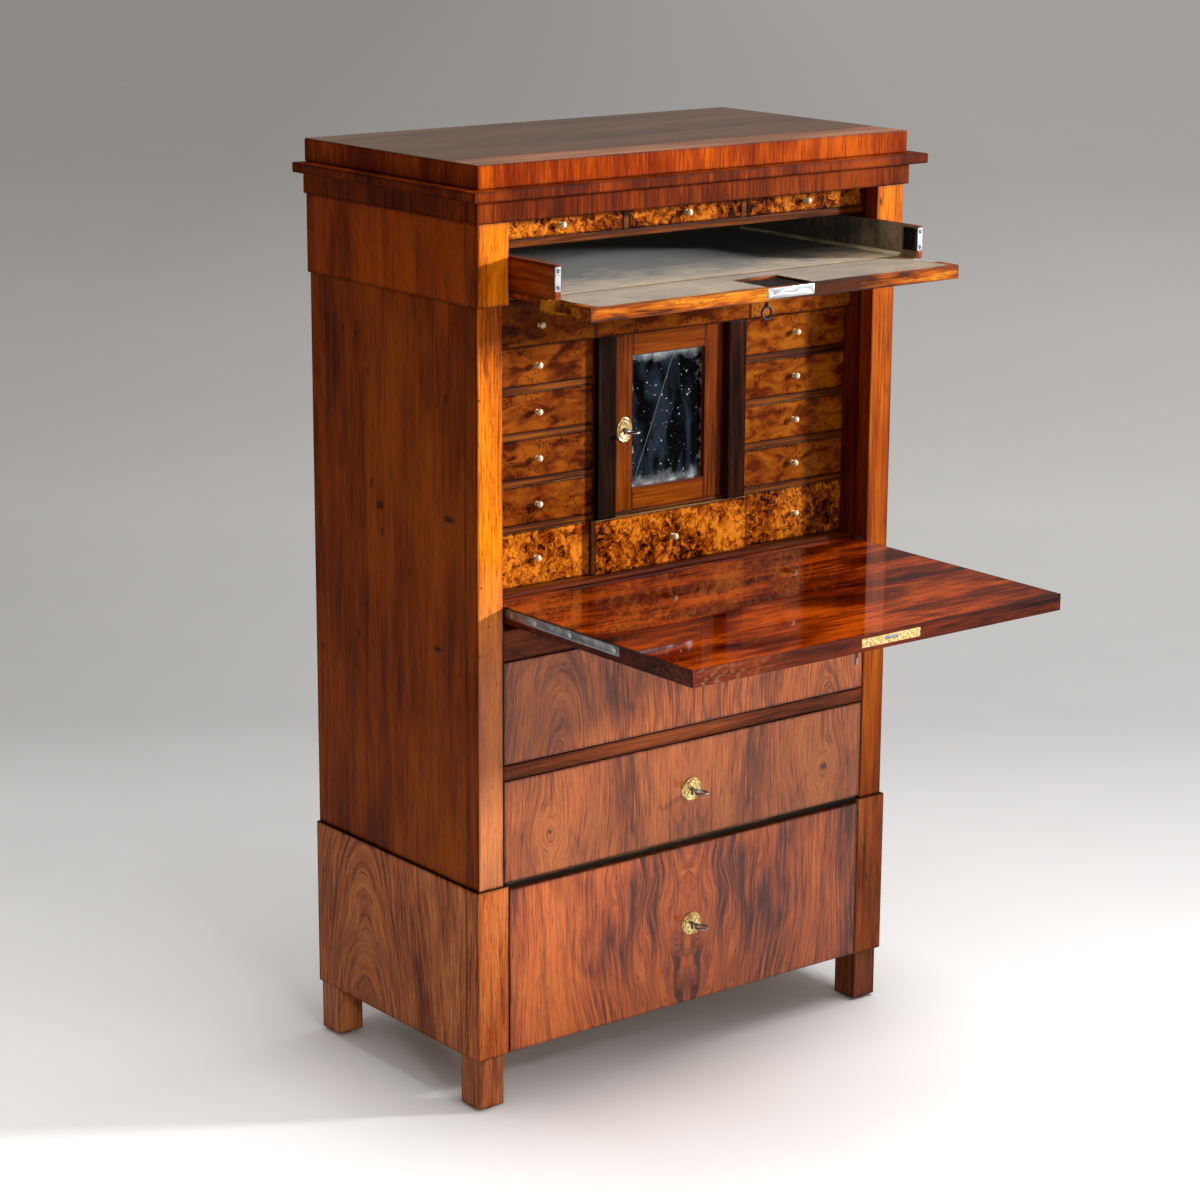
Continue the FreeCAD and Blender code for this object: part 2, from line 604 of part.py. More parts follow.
def large_drawer(name, half, box_half, plane, floor, front_low, front_high, keyed):
    """A drawer of five boards with a lock and a round escutcheon, and a key where one is in it."""
    middle = f"(({front_low}) + ({front_high})) / 2"
    front_back = f"({plane} + front_thick)"
    back = f"({back_inner} - drawer_back_gap)"
    low = f"({floor} + slide_gap)"
    high = f"({front_high} - drawer_side_drop)"
    inner = f"({box_half} - drawer_side_thick)"
    bottom_low = f"({low} + drawer_bottom_rise)"
    case_size = (
        about("lock_x", "case_width"),
        (f"{front_back} - case_thick", front_back),
        about(middle, "case_height"),
    )
    hole = keyhole(("lock_x", f"{plane} - escutcheon_thick", middle), "+y", "drawer_key_inside")
    node(
        f"{name}_drawer",
        cut(across(half, (plane, front_back), (front_low, front_high)), board(*case_size), hole),
        *pair((inner, box_half), (front_back, back), (low, high)),
        across(inner, (f"{back} - drawer_side_thick", back), (low, high)),
        across(
            inner,
            (front_back, f"{back} - drawer_side_thick"),
            (bottom_low, f"{bottom_low} + drawer_bottom_thick"),
        ),
    )
    chamber_y = f"{plane} - escutcheon_thick + drawer_key_inside + bolt_gap"
    disc_y = f"{plane} - escutcheon_thick"
    node(
        f"{name}_lock",
        cut(rod(("lock_x", disc_y, middle), "+y", "escutcheon_radius", "escutcheon_thick"), hole),
        cut(
            board(*case_size),
            hole,
            rod(("lock_x", chamber_y, middle), "-y", "chamber_radius", "bit_length + 2 * bolt_gap"),
        ),
    )
    if keyed:
        at = ("lock_x", f"{plane} - escutcheon_thick", middle)
        key(f"{name}_key", at, "-y", "drawer_key_inside", "drawer_key_outside")


large_drawer(
    "upper",
    body_front_half,
    body_box_half,
    "0",
    rail_top,
    f"{rail_top} + front_gap",
    f"{flap_rail_low} - front_gap",
    False,
)
large_drawer(
    "middle",
    body_front_half,
    body_box_half,
    "0",
    deck_top,
    f"{deck_top} + front_gap",
    f"{rail_low} - front_gap",
    True,
)
large_drawer(
    "base",
    base_front_half,
    base_box_half,
    "(-base_step)",
    base_floor_top,
    f"{feet_top} + front_gap",
    f"{deck_low} - front_gap",
    True,
)


def small_drawer(label, x, plane, floor, front_z, depth, box_x=None):
    """A small drawer of five boards with a turned knob."""
    left, right = box_x or x
    front_back = f"({plane} + small_front)"
    back = f"({plane} + {depth})"
    outer = (f"({left} + small_gap)", f"({right} - small_gap)")
    inner = (f"({outer[0]} + small_side)", f"({outer[1]} - small_side)")
    low = f"({floor} + small_lift)"
    high = f"({front_z[1]} - small_side_drop)"
    knob_at = (f"(({x[0]}) + ({x[1]})) / 2", plane, f"(({front_z[0]}) + ({front_z[1]})) / 2")
    ball = doc.addObject("Part::Sphere", "ball")
    bind(ball, "Radius", "knob_radius")
    place(ball, ("0", "0", "knob_rose_height + knob_neck_height"))
    knob = fuse(
        rod(("0", "0", "0"), "+z", "knob_rose_radius", "knob_rose_height"),
        rod(("0", "0", "0"), "+z", "knob_neck_radius", "knob_rose_height + knob_neck_height"),
        ball,
    )
    node(
        label,
        board((f"{x[0]} + small_gap", f"{x[1]} - small_gap"), (plane, front_back), front_z),
        board((outer[0], inner[0]), (front_back, back), (low, high)),
        board((inner[1], outer[1]), (front_back, back), (low, high)),
        board(inner, (f"{back} - small_side", back), (low, high)),
        board(inner, (front_back, f"{back} - small_side"), (low, f"{low} + small_bottom")),
        place(knob, knob_at, "-y"),
    )


def mirrored(x):
    """The same stretch of X on the left."""
    return (f"-({x[1]})", f"-({x[0]})")


# Four drawers in each column, top first
column_x = (pilaster_outer, body_inner)
for count in range(COLUMN_DRAWERS):
    floor = f"({columns_low} + {COLUMN_DRAWERS - 1 - count} * {pitch} + shelf_thick)"
    front_z = (f"{floor} + small_lift", f"{floor} + {pitch} - shelf_thick - small_gap")
    for side, x in (("left", mirrored(column_x)), ("right", column_x)):
        small_drawer(f"{side}_drawer_{count + 1}", x, "column_plane", floor, front_z, "small_depth")

# The rows below and above the columns, whose centre drawers stand proud
row_side = ("row_joint", body_inner)
row_centre = ("-row_joint", "row_joint")
side_box = (f"{pilaster_outer} + partition_thick", body_inner)
centre_box = (f"-{pilaster_outer}", pilaster_outer)
bottom_z = (f"{floor_top} + small_lift", f"{columns_low} - small_gap")
top_z = (f"{columns_top} + small_gap", f"{tray_deck_low} - small_gap")
for row, floor, front_z, side_plane in (
    ("bottom", floor_top, bottom_z, "column_plane"),
    ("top", top_floor, top_z, proud_plane),
):
    left_box = mirrored(side_box)
    small_drawer(f"{row}_left_drawer", mirrored(row_side), side_plane, floor, front_z, "small_depth", left_box)
    small_drawer(f"{row}_centre_drawer", row_centre, proud_plane, floor, front_z, "small_depth", centre_box)
    small_drawer(f"{row}_right_drawer", row_side, side_plane, floor, front_z, "small_depth", side_box)

# Three shallow drawers in the frieze, behind the drop front
frieze_side = ("divider_inner + divider_thick", frieze_inner)
frieze_centre = ("-divider_inner", "divider_inner")
frieze_z = (f"{frieze_shelf_top} + small_lift", f"{frieze_top} - small_gap")
for side, x in (("left", mirrored(frieze_side)), ("centre", frieze_centre), ("right", frieze_side)):
    small_drawer(f"frieze_{side}_drawer", x, "frieze_plane", frieze_shelf_top, frieze_z, "frieze_depth")

# Cupboard door: framed mirror on pivots, with a lock and its key
door_back = "(column_plane + door_thick)"
glass_front = "(column_plane + mirror_depth)"
glass_back = f"({glass_front} + mirror_thick)"
opening_half = f"({door_half} - door_frame_width)"
opening_low = f"({door_low} + door_frame_width)"
opening_top = f"({door_top} - door_frame_width)"
rebate_half = f"({opening_half} + mirror_rebate)"
rebate_z = (f"{opening_low} - mirror_rebate", f"{opening_top} + mirror_rebate")
door_middle = f"(({door_low} + {door_top}) / 2 - door_lock_drop)"
rebate = across(rebate_half, (glass_front, door_back), rebate_z)
door_case_size = (
    about("-door_lock_x", "door_case_width"),
    (glass_front, f"{glass_front} + door_key_inside - mirror_depth + bit_length"),
    about(door_middle, "door_case_height"),
)
door_hole = keyhole(("-door_lock_x", "column_plane - door_oval_thick", door_middle), "+y", "door_key_inside")
pivot_holes = []
pivots = []
for start, outward, way in ((door_low, "-", "+z"), (door_top, "+", "-z")):
    reach = "(door_lift + door_pin_reach)"
    at = (door_pin_x, door_pin_y, f"{start} {outward} {reach}")
    pivots.append(rod(at, way, "door_pin_radius", f"{reach} + door_pin_grip"))
    pivot_holes.append(rod(at, way, "door_pin_radius", f"{reach} + door_pin_grip"))
door_stiles = pair((opening_half, door_half), ("column_plane", door_back), (door_low, door_top))
node(
    "door_frame",
    cut(door_stiles[0], rebate, *pivot_holes),
    cut(door_stiles[1], rebate, board(*door_case_size), door_hole),
    cut(across(opening_half, ("column_plane", door_back), (door_low, opening_low)), rebate),
    cut(across(opening_half, ("column_plane", door_back), (opening_top, door_top)), rebate),
    across(rebate_half, (glass_back, f"{glass_back} + backing_thick"), rebate_z),
)
node("door_mirror", across(rebate_half, (glass_front, glass_back), rebate_z))
oval = doc.addObject("Part::Ellipse", "oval")
bind(oval, "MajorRadius", "door_oval_tall")
bind(oval, "MinorRadius", "door_oval_wide")
place(oval, ("-door_lock_x", "column_plane", door_middle), "-y", 90)
oval_plate = doc.addObject("Part::Extrusion", "oval_plate")
oval_plate.Base = oval
oval_plate.DirMode = "Custom"
oval_plate.Dir = VECTOR(0, -1, 0)
oval_plate.Solid = True
bind(oval_plate, "LengthFwd", "door_oval_thick")
node(
    "door_fittings",
    cut(oval_plate, door_hole),
    cut(
        board(*door_case_size),
        door_hole,
        rod(
            ("-door_lock_x", "column_plane - door_oval_thick + door_key_inside + bolt_gap", door_middle),
            "-y",
            "chamber_radius",
            "bit_length + 2 * bolt_gap",
        ),
    ),
    *pivots,
)
key(
    "door_key",
    ("-door_lock_x", "column_plane - door_oval_thick", door_middle),
    "-y",
    "door_key_inside",
    "door_key_outside",
)

doc.recompute()
for thing in doc.Objects:
    if "Invalid" in thing.State or "Error" in thing.State:
        raise RuntimeError(f"{thing.Label} failed: {thing.State}")
for thing in nodes:
    if thing.Shape.isNull() or not thing.Shape.isValid():
        raise RuntimeError(f"{thing.Label} has no valid shape")
os.makedirs("parts", exist_ok=True)
for thing in nodes:
    thing.Shape.exportStep(f"parts/{thing.Label}.step")
    print(thing.Label, len(thing.Shape.Solids), "solids", round(thing.Shape.Volume / 1000), "cm3")
print(len(nodes), "nodes")
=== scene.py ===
"""Looks of a fall-front escritoire in French-polished walnut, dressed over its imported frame, in metres."""
import math
import random
from collections import Counter

import bmesh
import bpy
from mathutils import Matrix, Vector


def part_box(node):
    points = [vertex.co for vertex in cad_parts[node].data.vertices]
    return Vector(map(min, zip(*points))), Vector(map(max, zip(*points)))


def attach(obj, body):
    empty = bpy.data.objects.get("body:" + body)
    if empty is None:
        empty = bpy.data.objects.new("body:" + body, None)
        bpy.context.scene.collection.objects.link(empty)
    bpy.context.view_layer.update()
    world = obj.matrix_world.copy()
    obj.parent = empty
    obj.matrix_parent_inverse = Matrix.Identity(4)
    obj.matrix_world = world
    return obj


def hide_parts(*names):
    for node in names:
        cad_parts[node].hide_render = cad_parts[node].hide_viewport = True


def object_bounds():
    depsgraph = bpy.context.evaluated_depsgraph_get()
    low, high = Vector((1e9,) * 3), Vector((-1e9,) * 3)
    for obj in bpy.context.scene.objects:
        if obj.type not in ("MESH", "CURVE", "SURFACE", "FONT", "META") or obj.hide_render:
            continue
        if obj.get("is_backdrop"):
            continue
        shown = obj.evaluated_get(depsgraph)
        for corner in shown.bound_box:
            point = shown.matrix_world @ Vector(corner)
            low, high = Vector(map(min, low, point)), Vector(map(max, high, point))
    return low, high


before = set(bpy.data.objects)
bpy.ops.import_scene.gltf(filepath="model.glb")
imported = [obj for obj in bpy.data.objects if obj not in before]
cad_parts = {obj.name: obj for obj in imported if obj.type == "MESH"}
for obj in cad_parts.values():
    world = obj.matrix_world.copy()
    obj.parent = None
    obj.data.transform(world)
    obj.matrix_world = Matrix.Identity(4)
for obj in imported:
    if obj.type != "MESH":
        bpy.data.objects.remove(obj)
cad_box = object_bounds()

# FEET AND GLIDES
# Four square walnut blocks glued and screwed under the plinth, polished like the case, their edges rubbed.
# Each stands on a black felt-and-rubber pad.
flat_angle = 0.02
sharp_angle = 0.6


def solids_of(node):
    """The separate solids of a CAD node, each a list of triangles of points in whole micrometres."""
    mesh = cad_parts[node].data
    spots = [tuple(round(c * 1e6) for c in v.co) for v in mesh.vertices]
    solids = []
    faces = []
    loose = Counter()
    for face in mesh.polygons:
        corners = [spots[i] for i in face.vertices]
        faces.append(corners)
        for start, end in zip(corners, corners[1:] + corners[:1]):
            if start == end:
                continue
            if loose[(end, start)] > 0:
                loose[(end, start)] -= 1
            else:
                loose[(start, end)] += 1
        loose += Counter()
        if not loose:
            solids.append(faces)
            faces = []
    return solids


def placed(name, mesh):
    """A piece with this mesh, at the origin."""
    piece = bpy.data.objects.new(name, mesh)
    bpy.context.scene.collection.objects.link(piece)
    return piece


def fit(piece, body, slot, *nodes):
    """A piece that rides on a body and stands for CAD nodes, which it hides. The slot is not used."""
    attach(piece, body)
    if nodes:
        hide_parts(*nodes)
    return piece


def dress(name, node, body, slot, finishes, pick=None, along=None, edge=0.0012, rounded=False, only=None):
    """A piece that replaces a CAD node, from its solids, with eased edges and each board's own grain.

    pick(solid number, face normal) gives a face's place in finishes. along is the grain's axis, or a function
    that gives it for a solid number. With none, the grain runs the longest way. only lists the solids to use.
    """
    points, faces, finish_of, grain, place, reach = [], [], [], [], [], []
    for number, triangles in enumerate(solids_of(node)):
        if only and number not in only:
            continue
        shape = bmesh.new()
        known = {}
        for corners in triangles:
            for corner in corners:
                if corner not in known:
                    known[corner] = shape.verts.new([c * 1e-6 for c in corner])
            if len(set(corners)) == 3:
                shape.faces.new([known[c] for c in corners])
        bmesh.ops.dissolve_limit(shape, angle_limit=flat_angle, verts=shape.verts, edges=shape.edges)
        low = Vector([min(v.co[i] for v in shape.verts) for i in range(3)])
        high = Vector([max(v.co[i] for v in shape.verts) for i in range(3)])
        if edge:
            sharp = [e for e in shape.edges if e.is_manifold and e.calc_face_angle() > sharp_angle]
            bmesh.ops.bevel(shape, geom=sharp, offset=edge, segments=2, profile=0.6, affect="EDGES",
                            clamp_overlap=True)
        half = (high - low) / 2
        centre = (high + low) / 2
        order = sorted(range(3), key=lambda i: half[i])
        way = along(number) if callable(along) else along
        run = "xyz".index(way) if way else order[2]
        others = [i for i in order if i != run]
        axes = (others[1], run, others[0])
        draw = random.Random(f"{node} {number}")
        shift = [draw.uniform(-4, 4) for _ in range(3)]
        first = len(points)
        shape.verts.index_update()
        for vert in shape.verts:
            points.append(vert.co[:])
            spot = [vert.co[i] - centre[i] for i in axes]
            place.extend(spot)
            grain.extend(s + o for s, o in zip(spot, shift))
            reach.extend(half[i] for i in axes)
        for face in shape.faces:
            faces.append([first + v.index for v in face.verts])
            finish_of.append(pick(number, face.normal) if pick else 0)
        shape.free()
    mesh = bpy.data.meshes.new(name)
    mesh.from_pydata(points, [], faces)
    for label, values in (("grain", grain), ("place", place), ("reach", reach)):
        mesh.attributes.new(label, "FLOAT_VECTOR", "POINT").data.foreach_set("vector", values)
    for finish in finishes:
        mesh.materials.append(finish)
    mesh.polygons.foreach_set("material_index", finish_of)
    if rounded:
        mesh.shade_smooth()
        mesh.set_sharp_from_angle(angle=sharp_angle)
    return fit(placed(name, mesh), body, slot, node)


def paint(code):
    """Linear colour of an sRGB hex code."""
    parts = [int(code[i:i + 2], 16) / 255 for i in (1, 3, 5)]
    return [p / 12.92 if p <= 0.04045 else ((p + 0.055) / 1.055) ** 2.4 for p in parts] + [1.0]


def feed(node, values):
    """Links or sets a node's inputs. A hex code is set as its linear colour."""
    named = values if isinstance(values, dict) else dict(enumerate(values))
    for key, value in named.items():
        if isinstance(value, bpy.types.NodeSocket):
            node.id_data.links.new(value, node.inputs[key])
        else:
            node.inputs[key].default_value = paint(value) if isinstance(value, str) else value


def add(tree, kind, inputs=(), operation=None, out=0, stops=(), **settings):
    """A new node's output, or all of them with out=None. stops are a ramp's places, with hex codes or levels.

    inputs are listed in order or by name.
    """
    families = ("ShaderNode", "GeometryNode", "FunctionNode", "")
    made = tree.nodes.new(next(family + kind for family in families if hasattr(bpy.types, family + kind)))
    if operation:
        made.operation = operation
    for key, value in settings.items():
        setattr(made, key, value)
    feed(made, inputs)
    for number, (spot, colour) in enumerate(stops):
        ramp = made.color_ramp.elements
        stop = ramp[number] if number < 2 else ramp.new(spot)
        stop.position = spot
        stop.color = paint(colour) if isinstance(colour, str) else [colour] * 3 + [1.0]
    return made.outputs if out is None else made.outputs[out]


def material(name):
    """A new material, its tree and its shader."""
    made = bpy.data.materials.new(name)
    made.use_nodes = True
    return made, made.node_tree, made.node_tree.nodes["Principled BSDF"]


def fibre_lines(tree, spot, steps, detail, **more):
    """Noise drawn out along the fibre. steps are its changes to the metre along each axis."""
    drawn = add(tree, "VectorMath", [spot, steps], "MULTIPLY")
    return add(tree, "TexNoise", {"Vector": drawn, "Scale": 1.0, "Detail": detail, **more})


def edge_gap(tree):
    """How far a point of a board lies from the nearest edge of that board."""
    place = add(tree, "Attribute", out="Vector", attribute_name="place")
    reach = add(tree, "Attribute", out="Vector", attribute_name="reach")
    inward = add(tree, "VectorMath", [place], "ABSOLUTE")
    gap = add(tree, "VectorMath", [reach, inward], "SUBTRACT")
    parts = add(tree, "SeparateXYZ", [gap], out=None)
    low = add(tree, "Math", [parts[0], parts[1]], "MINIMUM")
    high = add(tree, "Math", [parts[0], parts[1]], "MAXIMUM")
    rest = add(tree, "Math", [high, parts[2]], "MINIMUM")
    return add(tree, "Math", [low, rest], "MAXIMUM")


def veneer(name, dark, middle, light, band=0.03, stretch=14, streaks=0.006, hair=0.003, vein=0.4, flecks=0.5,
           pores=0.35, rings=0.5, cloud=0.5, painted_light_left=0.0, marks=(), figure=None, polish=0.3, gloss=0.08,
           coat=0.03, clear=0.07, ripple=0.12, edges=0.7, chips=None, painted_haze_low=0.0):
    """French-polished wood: broad colour bands, streaks, hair-fine fibre, dark veins, pores and flecks.

    band, streaks and hair are widths across the grain. Real fibre and pores of 0.3 mm are drawn about 3 mm
    and 1.5 mm wide, because finer ones would not show. The layers give the eye depth, the edges are darkened
    by dirt, and the gloss is soft and dulled there.
    """
    made, tree, shader = material(name)
    grain = figure(tree) if figure else add(tree, "Attribute", out="Vector", attribute_name="grain")

    def layer(across, along, detail, distortion=0.0):
        steps = (1 / across, 1 / along, 1 / across)
        return fibre_lines(tree, grain, steps, detail, Roughness=0.58, Distortion=distortion)

    # Bands, streaks and fibre make the tone, with clouds of 90 by 300 mm.
    broad = layer(band, band * stretch, 3, 0.7)
    streak = layer(streaks, streaks * 26, 4)
    fibre = layer(hair, hair * 34, 2)
    part = add(tree, "Math", [streak, 0.72 - rings], "MULTIPLY")
    part = add(tree, "Math", [broad, rings, part], "MULTIPLY_ADD")
    tone = add(tree, "Math", [fibre, 0.28, part], "MULTIPLY_ADD")
    patch = layer(0.09, 0.3, 3)
    patch = add(tree, "MapRange", [patch, 0.0, 1.0, -cloud / 2, cloud / 2])
    tone = add(tree, "Math", [tone, patch], "ADD")
    # A painted pool of light: the tone is lifted at the left end and lowered towards the right.
    if painted_light_left:
        spot = add(tree, "TexCoord", out="Object")
        spot = add(tree, "SeparateXYZ", [spot])
        core = add(tree, "MapRange", [spot, -0.24, -0.06, painted_light_left, -painted_light_left / 2])
        tone = add(tree, "Math", [tone, core], "ADD")
    colour = add(tree, "ValToRGB", [tone], stops=[(0.37, dark), (0.63, light), (0.5, middle)])

    # Veins follow the bands, pores are dashes of 1.5 by 22 mm, and flecks lie about 33 by 77 mm apart.
    drift = layer(band * 1.4, band * stretch * 1.3, 2, 1.2)
    off = add(tree, "Math", [drift, 0.5], "SUBTRACT")
    off = add(tree, "Math", [off], "ABSOLUTE")
    line = add(tree, "MapRange", [off, 0.002, 0.03, vein, 0.0])
    pore = layer(0.0015, 0.022, 1)
    dash = add(tree, "MapRange", [pore, 0.6, 0.72, 0.0, pores])
    spread = add(tree, "VectorMath", [grain, (30, 13, 30)], "MULTIPLY")
    cells = add(tree, "TexVoronoi", {"Vector": spread, "Scale": 1.0, "Randomness": 1.0}, out=None)
    rare = add(tree, "SeparateXYZ", [cells["Color"]])
    rare = add(tree, "Math", [rare, 0.66], "GREATER_THAN")
    fleck = add(tree, "MapRange", [cells["Distance"], 0.03, 0.13, flecks, 0.0])
    fleck = add(tree, "Math", [fleck, rare], "MULTIPLY")
    stains = [(line, "#6b4030", "MULTIPLY"), (dash, "#6a3a22", "MULTIPLY"), (fleck, "#4a2414", "MULTIPLY")]

    # Knots, a painted reflection low down, dirt along the edges and bruises where the polish has flaked.
    for centre, size in marks:
        spot = add(tree, "TexCoord", out="Object")
        spot = add(tree, "VectorMath", [spot, centre], "SUBTRACT")
        inverse = [1 / length for length in size]
        spot = add(tree, "VectorMath", [spot, inverse], "MULTIPLY")
        spot = add(tree, "VectorMath", [spot], "LENGTH", out="Value")
        spot = add(tree, "Math", [streak, 1.2, spot], "MULTIPLY_ADD")
        spot = add(tree, "MapRange", [spot, 0.9, 1.5, 0.85, 0.0])
        stains.append((spot, "#3c1c0c", "MULTIPLY"))
    # Painted reflection: below a set height the wood is mixed towards a pale pink-brown.
    if painted_haze_low:
        height = add(tree, "TexCoord", out="Object")
        height = add(tree, "SeparateXYZ", [height], out=2)
        share = add(tree, "MapRange", [height, 0.62, 0.85, painted_haze_low, 0.0])
        stains.append((share, "#c78a6c", "MIX"))
    gap = edge_gap(tree)
    ragged = add(tree, "Math", [streak, 0.006, gap], "MULTIPLY_ADD")
    rim = add(tree, "MapRange", [ragged, 0.0028, 0.0075, edges, 0.0])
    stains.append((rim, "#5a3018", "MULTIPLY"))
    if chips:
        flake = layer(0.006, 0.012, 3)
        flake = add(tree, "MapRange", [flake, 0.5, 0.64, 0.0, 0.42])
        spot = add(tree, "TexCoord", out="Object")
        near = add(tree, "VectorMath", [spot, chips], "DISTANCE", out="Value")
        near = add(tree, "MapRange", [near, 0.03, 0.16, 1.0, 0.0])
        flake = add(tree, "Math", [flake, near], "MULTIPLY")
        stains.append((flake, "#8f6848", "MIX"))
    for share, shade, blend in stains:
        colour = add(tree, "Mix", {0: share, 6: colour, 7: shade}, out=2, data_type="RGBA",
                     blend_type=blend)

    # Polish laid by hand: waves of 70 mm, sunk a little at the pores.
    dull = add(tree, "MapRange", [fibre, 0.3, 0.7, polish, polish + 0.1])
    dull = add(tree, "Math", [rim, 0.25, dull], "MULTIPLY_ADD")
    wave = add(tree, "TexNoise", {"Vector": grain, "Scale": 14.0, "Detail": 1.0})
    height = add(tree, "Math", [dash, -0.12, wave], "MULTIPLY_ADD")
    bump = add(tree, "Bump", {"Height": height, "Strength": ripple, "Distance": 0.0008})
    feed(shader, {"Base Color": colour, "Roughness": dull, "Specular IOR Level": gloss, "Coat Weight": coat,
                  "Coat Roughness": clear, "Normal": bump, "Coat Normal": bump})
    return made


# Straight walnut gives a warm brown with short dark flecks. Painted shade darkens the right-hand feet.
left_foot_veneer = veneer("straight_walnut", "#864526", "#c47145", "#e0925c", band=0.022, stretch=20,
                          flecks=0.75)
foot_veneer_painted_shade = veneer("walnut_foot_painted_shade", "#40190d", "#70371e", "#8e4e2e", band=0.022, stretch=20,
                           flecks=0.75)
dress("walnut_feet", "feet", "case", "walnut_veneer", [foot_veneer_painted_shade, left_foot_veneer],
      pick=lambda n, normal: n % 2, along="z", edge=0.0016)

# Moulded rubber gives a dull near-black with a faint crumb of 1.4 mm.
rubber, tree, shader = material("black_rubber_pad")
spot = add(tree, "TexCoord", out="Object")
crumb = add(tree, "TexNoise", {"Vector": spot, "Scale": 700.0, "Detail": 3.0})
crumb = add(tree, "ValToRGB", [crumb], stops=[(0.35, "#131313"), (0.7, "#2a2927")])
feed(shader, {"Base Color": crumb, "Roughness": 0.75})
dress("felt_glides", "foot_glides", "case", "black_glide", [rubber], edge=0.0008, rounded=True)

# CASE SIDES
# Pine boards veneered in walnut with the grain upright, in three steps: plinth, body and frieze.
# Plinth leaves show an arched figure, the body leaf runs straight with dark flecks.


def arched(tree):
    """Grain that runs round a tall arch on the case's side, seen along X, with its centre below the floor."""
    middle, level, squeeze, sway = 0.29, -0.2, 0.2, 0.04
    spot = add(tree, "TexCoord", out="Object")
    wander = add(tree, "TexNoise", {"Vector": spot, "Scale": 6.0, "Detail": 0.5})
    parts = add(tree, "SeparateXYZ", [spot], out=None)
    side = add(tree, "Math", [parts[1], middle], "SUBTRACT")
    rise = add(tree, "Math", [parts[2], level], "SUBTRACT")
    rise = add(tree, "Math", [rise, squeeze], "MULTIPLY")
    line = add(tree, "CombineXYZ", [side, rise])
    ring = add(tree, "VectorMath", [line], "LENGTH", out="Value")
    ring = add(tree, "Math", [wander, sway, ring], "MULTIPLY_ADD")
    return add(tree, "CombineXYZ", [ring, parts[2], parts[0]])


# Worn polish gives the sides a dull red-brown with fine dark pores. Ledges are black with dust and painted
# shade.
fine = {"streaks": 0.003, "hair": 0.0018, "pores": 0.7}
worn = {"pores": 0.6, "polish": 0.36, "gloss": 0.05, "coat": 0.0}
side_knots = [((-0.395, 0.245, 0.878), (0.2, 0.014, 0.009)), ((-0.395, 0.067, 0.888), (0.2, 0.02, 0.007)),
              ((-0.395, 0.1, 0.69), (0.2, 0.016, 0.006))]
side_veneer = veneer("walnut_side_leaf", "#531c00", "#853501", "#a24b02", band=0.05, stretch=16,
                     streaks=0.005, hair=0.0022, rings=0.4, flecks=0.85, vein=0.2, cloud=0.45,
                     marks=side_knots, **worn)
plinth_veneer = veneer("arched_walnut_leaf", "#662a0f", "#b56031", "#dc8b50", band=0.04, stretch=8,
                       figure=arched, rings=0.24, vein=0.25, polish=0.34, **fine)
ledge_dust_and_painted_shade = veneer("walnut_ledge_dust_and_painted_shade", "#140602", "#301308", "#48200f", stretch=10, polish=0.5)
frieze_crack = [((-0.4, 0.198, 1.24), (0.3, 0.0012, 0.06))]
frieze_veneer = veneer("plain_walnut_leaf", "#632000", "#953a00", "#ae4b01", band=0.05, stretch=20,
                       streaks=0.004, hair=0.0018, flecks=0.3, vein=0.15, marks=frieze_crack, **worn)
# Bare pine gives a dry yellow-brown with no shine.
inner_wood = veneer("aged_pine", "#74532f", "#97703f", "#b58a52", stretch=18, flecks=0.2, vein=0.2,
                    polish=0.7, coat=0.0, edges=0.35)


def side_pick(number, normal):
    """Outer faces take the leaf of their step, ledges are dark with dirt and painted shade, and the rest is
    bare pine.
    """
    if normal.z > 0.4:
        return 4
    return (1, 1, 0, 0, 2, 2)[number] if abs(normal.x) > 0.4 else 3


dress("veneered_sides", "side_panels", "case", "walnut_veneer",
      [side_veneer, plinth_veneer, frieze_veneer, inner_wood, ledge_dust_and_painted_shade], pick=side_pick, along="z")

# CORNER STILES
# Upright walnut posts at both front corners, in the same three steps, cut from straight golden stock.
# They are glued to the sides, with small dark knots and a rubbed outer corner.
nail_spots = ((-0.391, 1.07), (-0.388, 0.8), (-0.376, 0.742), (-0.392, 0.7), (-0.361, 0.655), (-0.37, 0.5))
nail_marks = [((x, 0.0, z), (0.004, 0.2, 0.003)) for x, z in nail_spots]
# Narrow bands of straight walnut give golden, amber and russet posts. The golden ones are paled low down.
# That paling is a painted reflection: the wood is mixed towards a pale pink-brown below a set height.
golden_stile = veneer("golden_walnut_stile", "#8a3c01", "#c86502", "#de8006", band=0.016, stretch=30,
                      rings=0.35, flecks=0.9, vein=0.35, polish=0.28, painted_haze_low=0.42, marks=nail_marks,
                      **{**fine, "pores": 0.8})
plinth_stile = veneer("brown_walnut_stile", "#863d17", "#b85e2a", "#d3783c", band=0.016, stretch=24,
                      rings=0.35, flecks=0.6, **fine)
# The right-hand posts take the amber and russet leaves, darker copies of this walnut: painted shade.
amber_stile_painted_shade = veneer("amber_walnut_stile_painted_shade", "#722c02", "#9a4302", "#b15d0b", band=0.016, stretch=30,
                     flecks=0.8, vein=0.35, polish=0.28)
russet_stile_painted_shade = veneer("russet_walnut_stile_painted_shade", "#6c2d0e", "#98491b", "#b2602a", band=0.016, stretch=24,
                      flecks=0.6, vein=0.5)


def stile_pick(number, normal):
    """Front faces are post veneer, and the leaf of the case's side laps round the outer face."""
    if normal.z > 0.4:
        return 7
    return (5, 5, 4, 4, 6, 6)[number] if abs(normal.x) > 0.8 else (3, 1, 2, 0, 0, 0)[number]


dress("corner_posts", "corner_stiles", "case", "golden_veneer",
      [golden_stile, plinth_stile, amber_stile_painted_shade, russet_stile_painted_shade, side_veneer, plinth_veneer, frieze_veneer,
       ledge_dust_and_painted_shade],
      pick=stile_pick, along="z", edge=0.002)
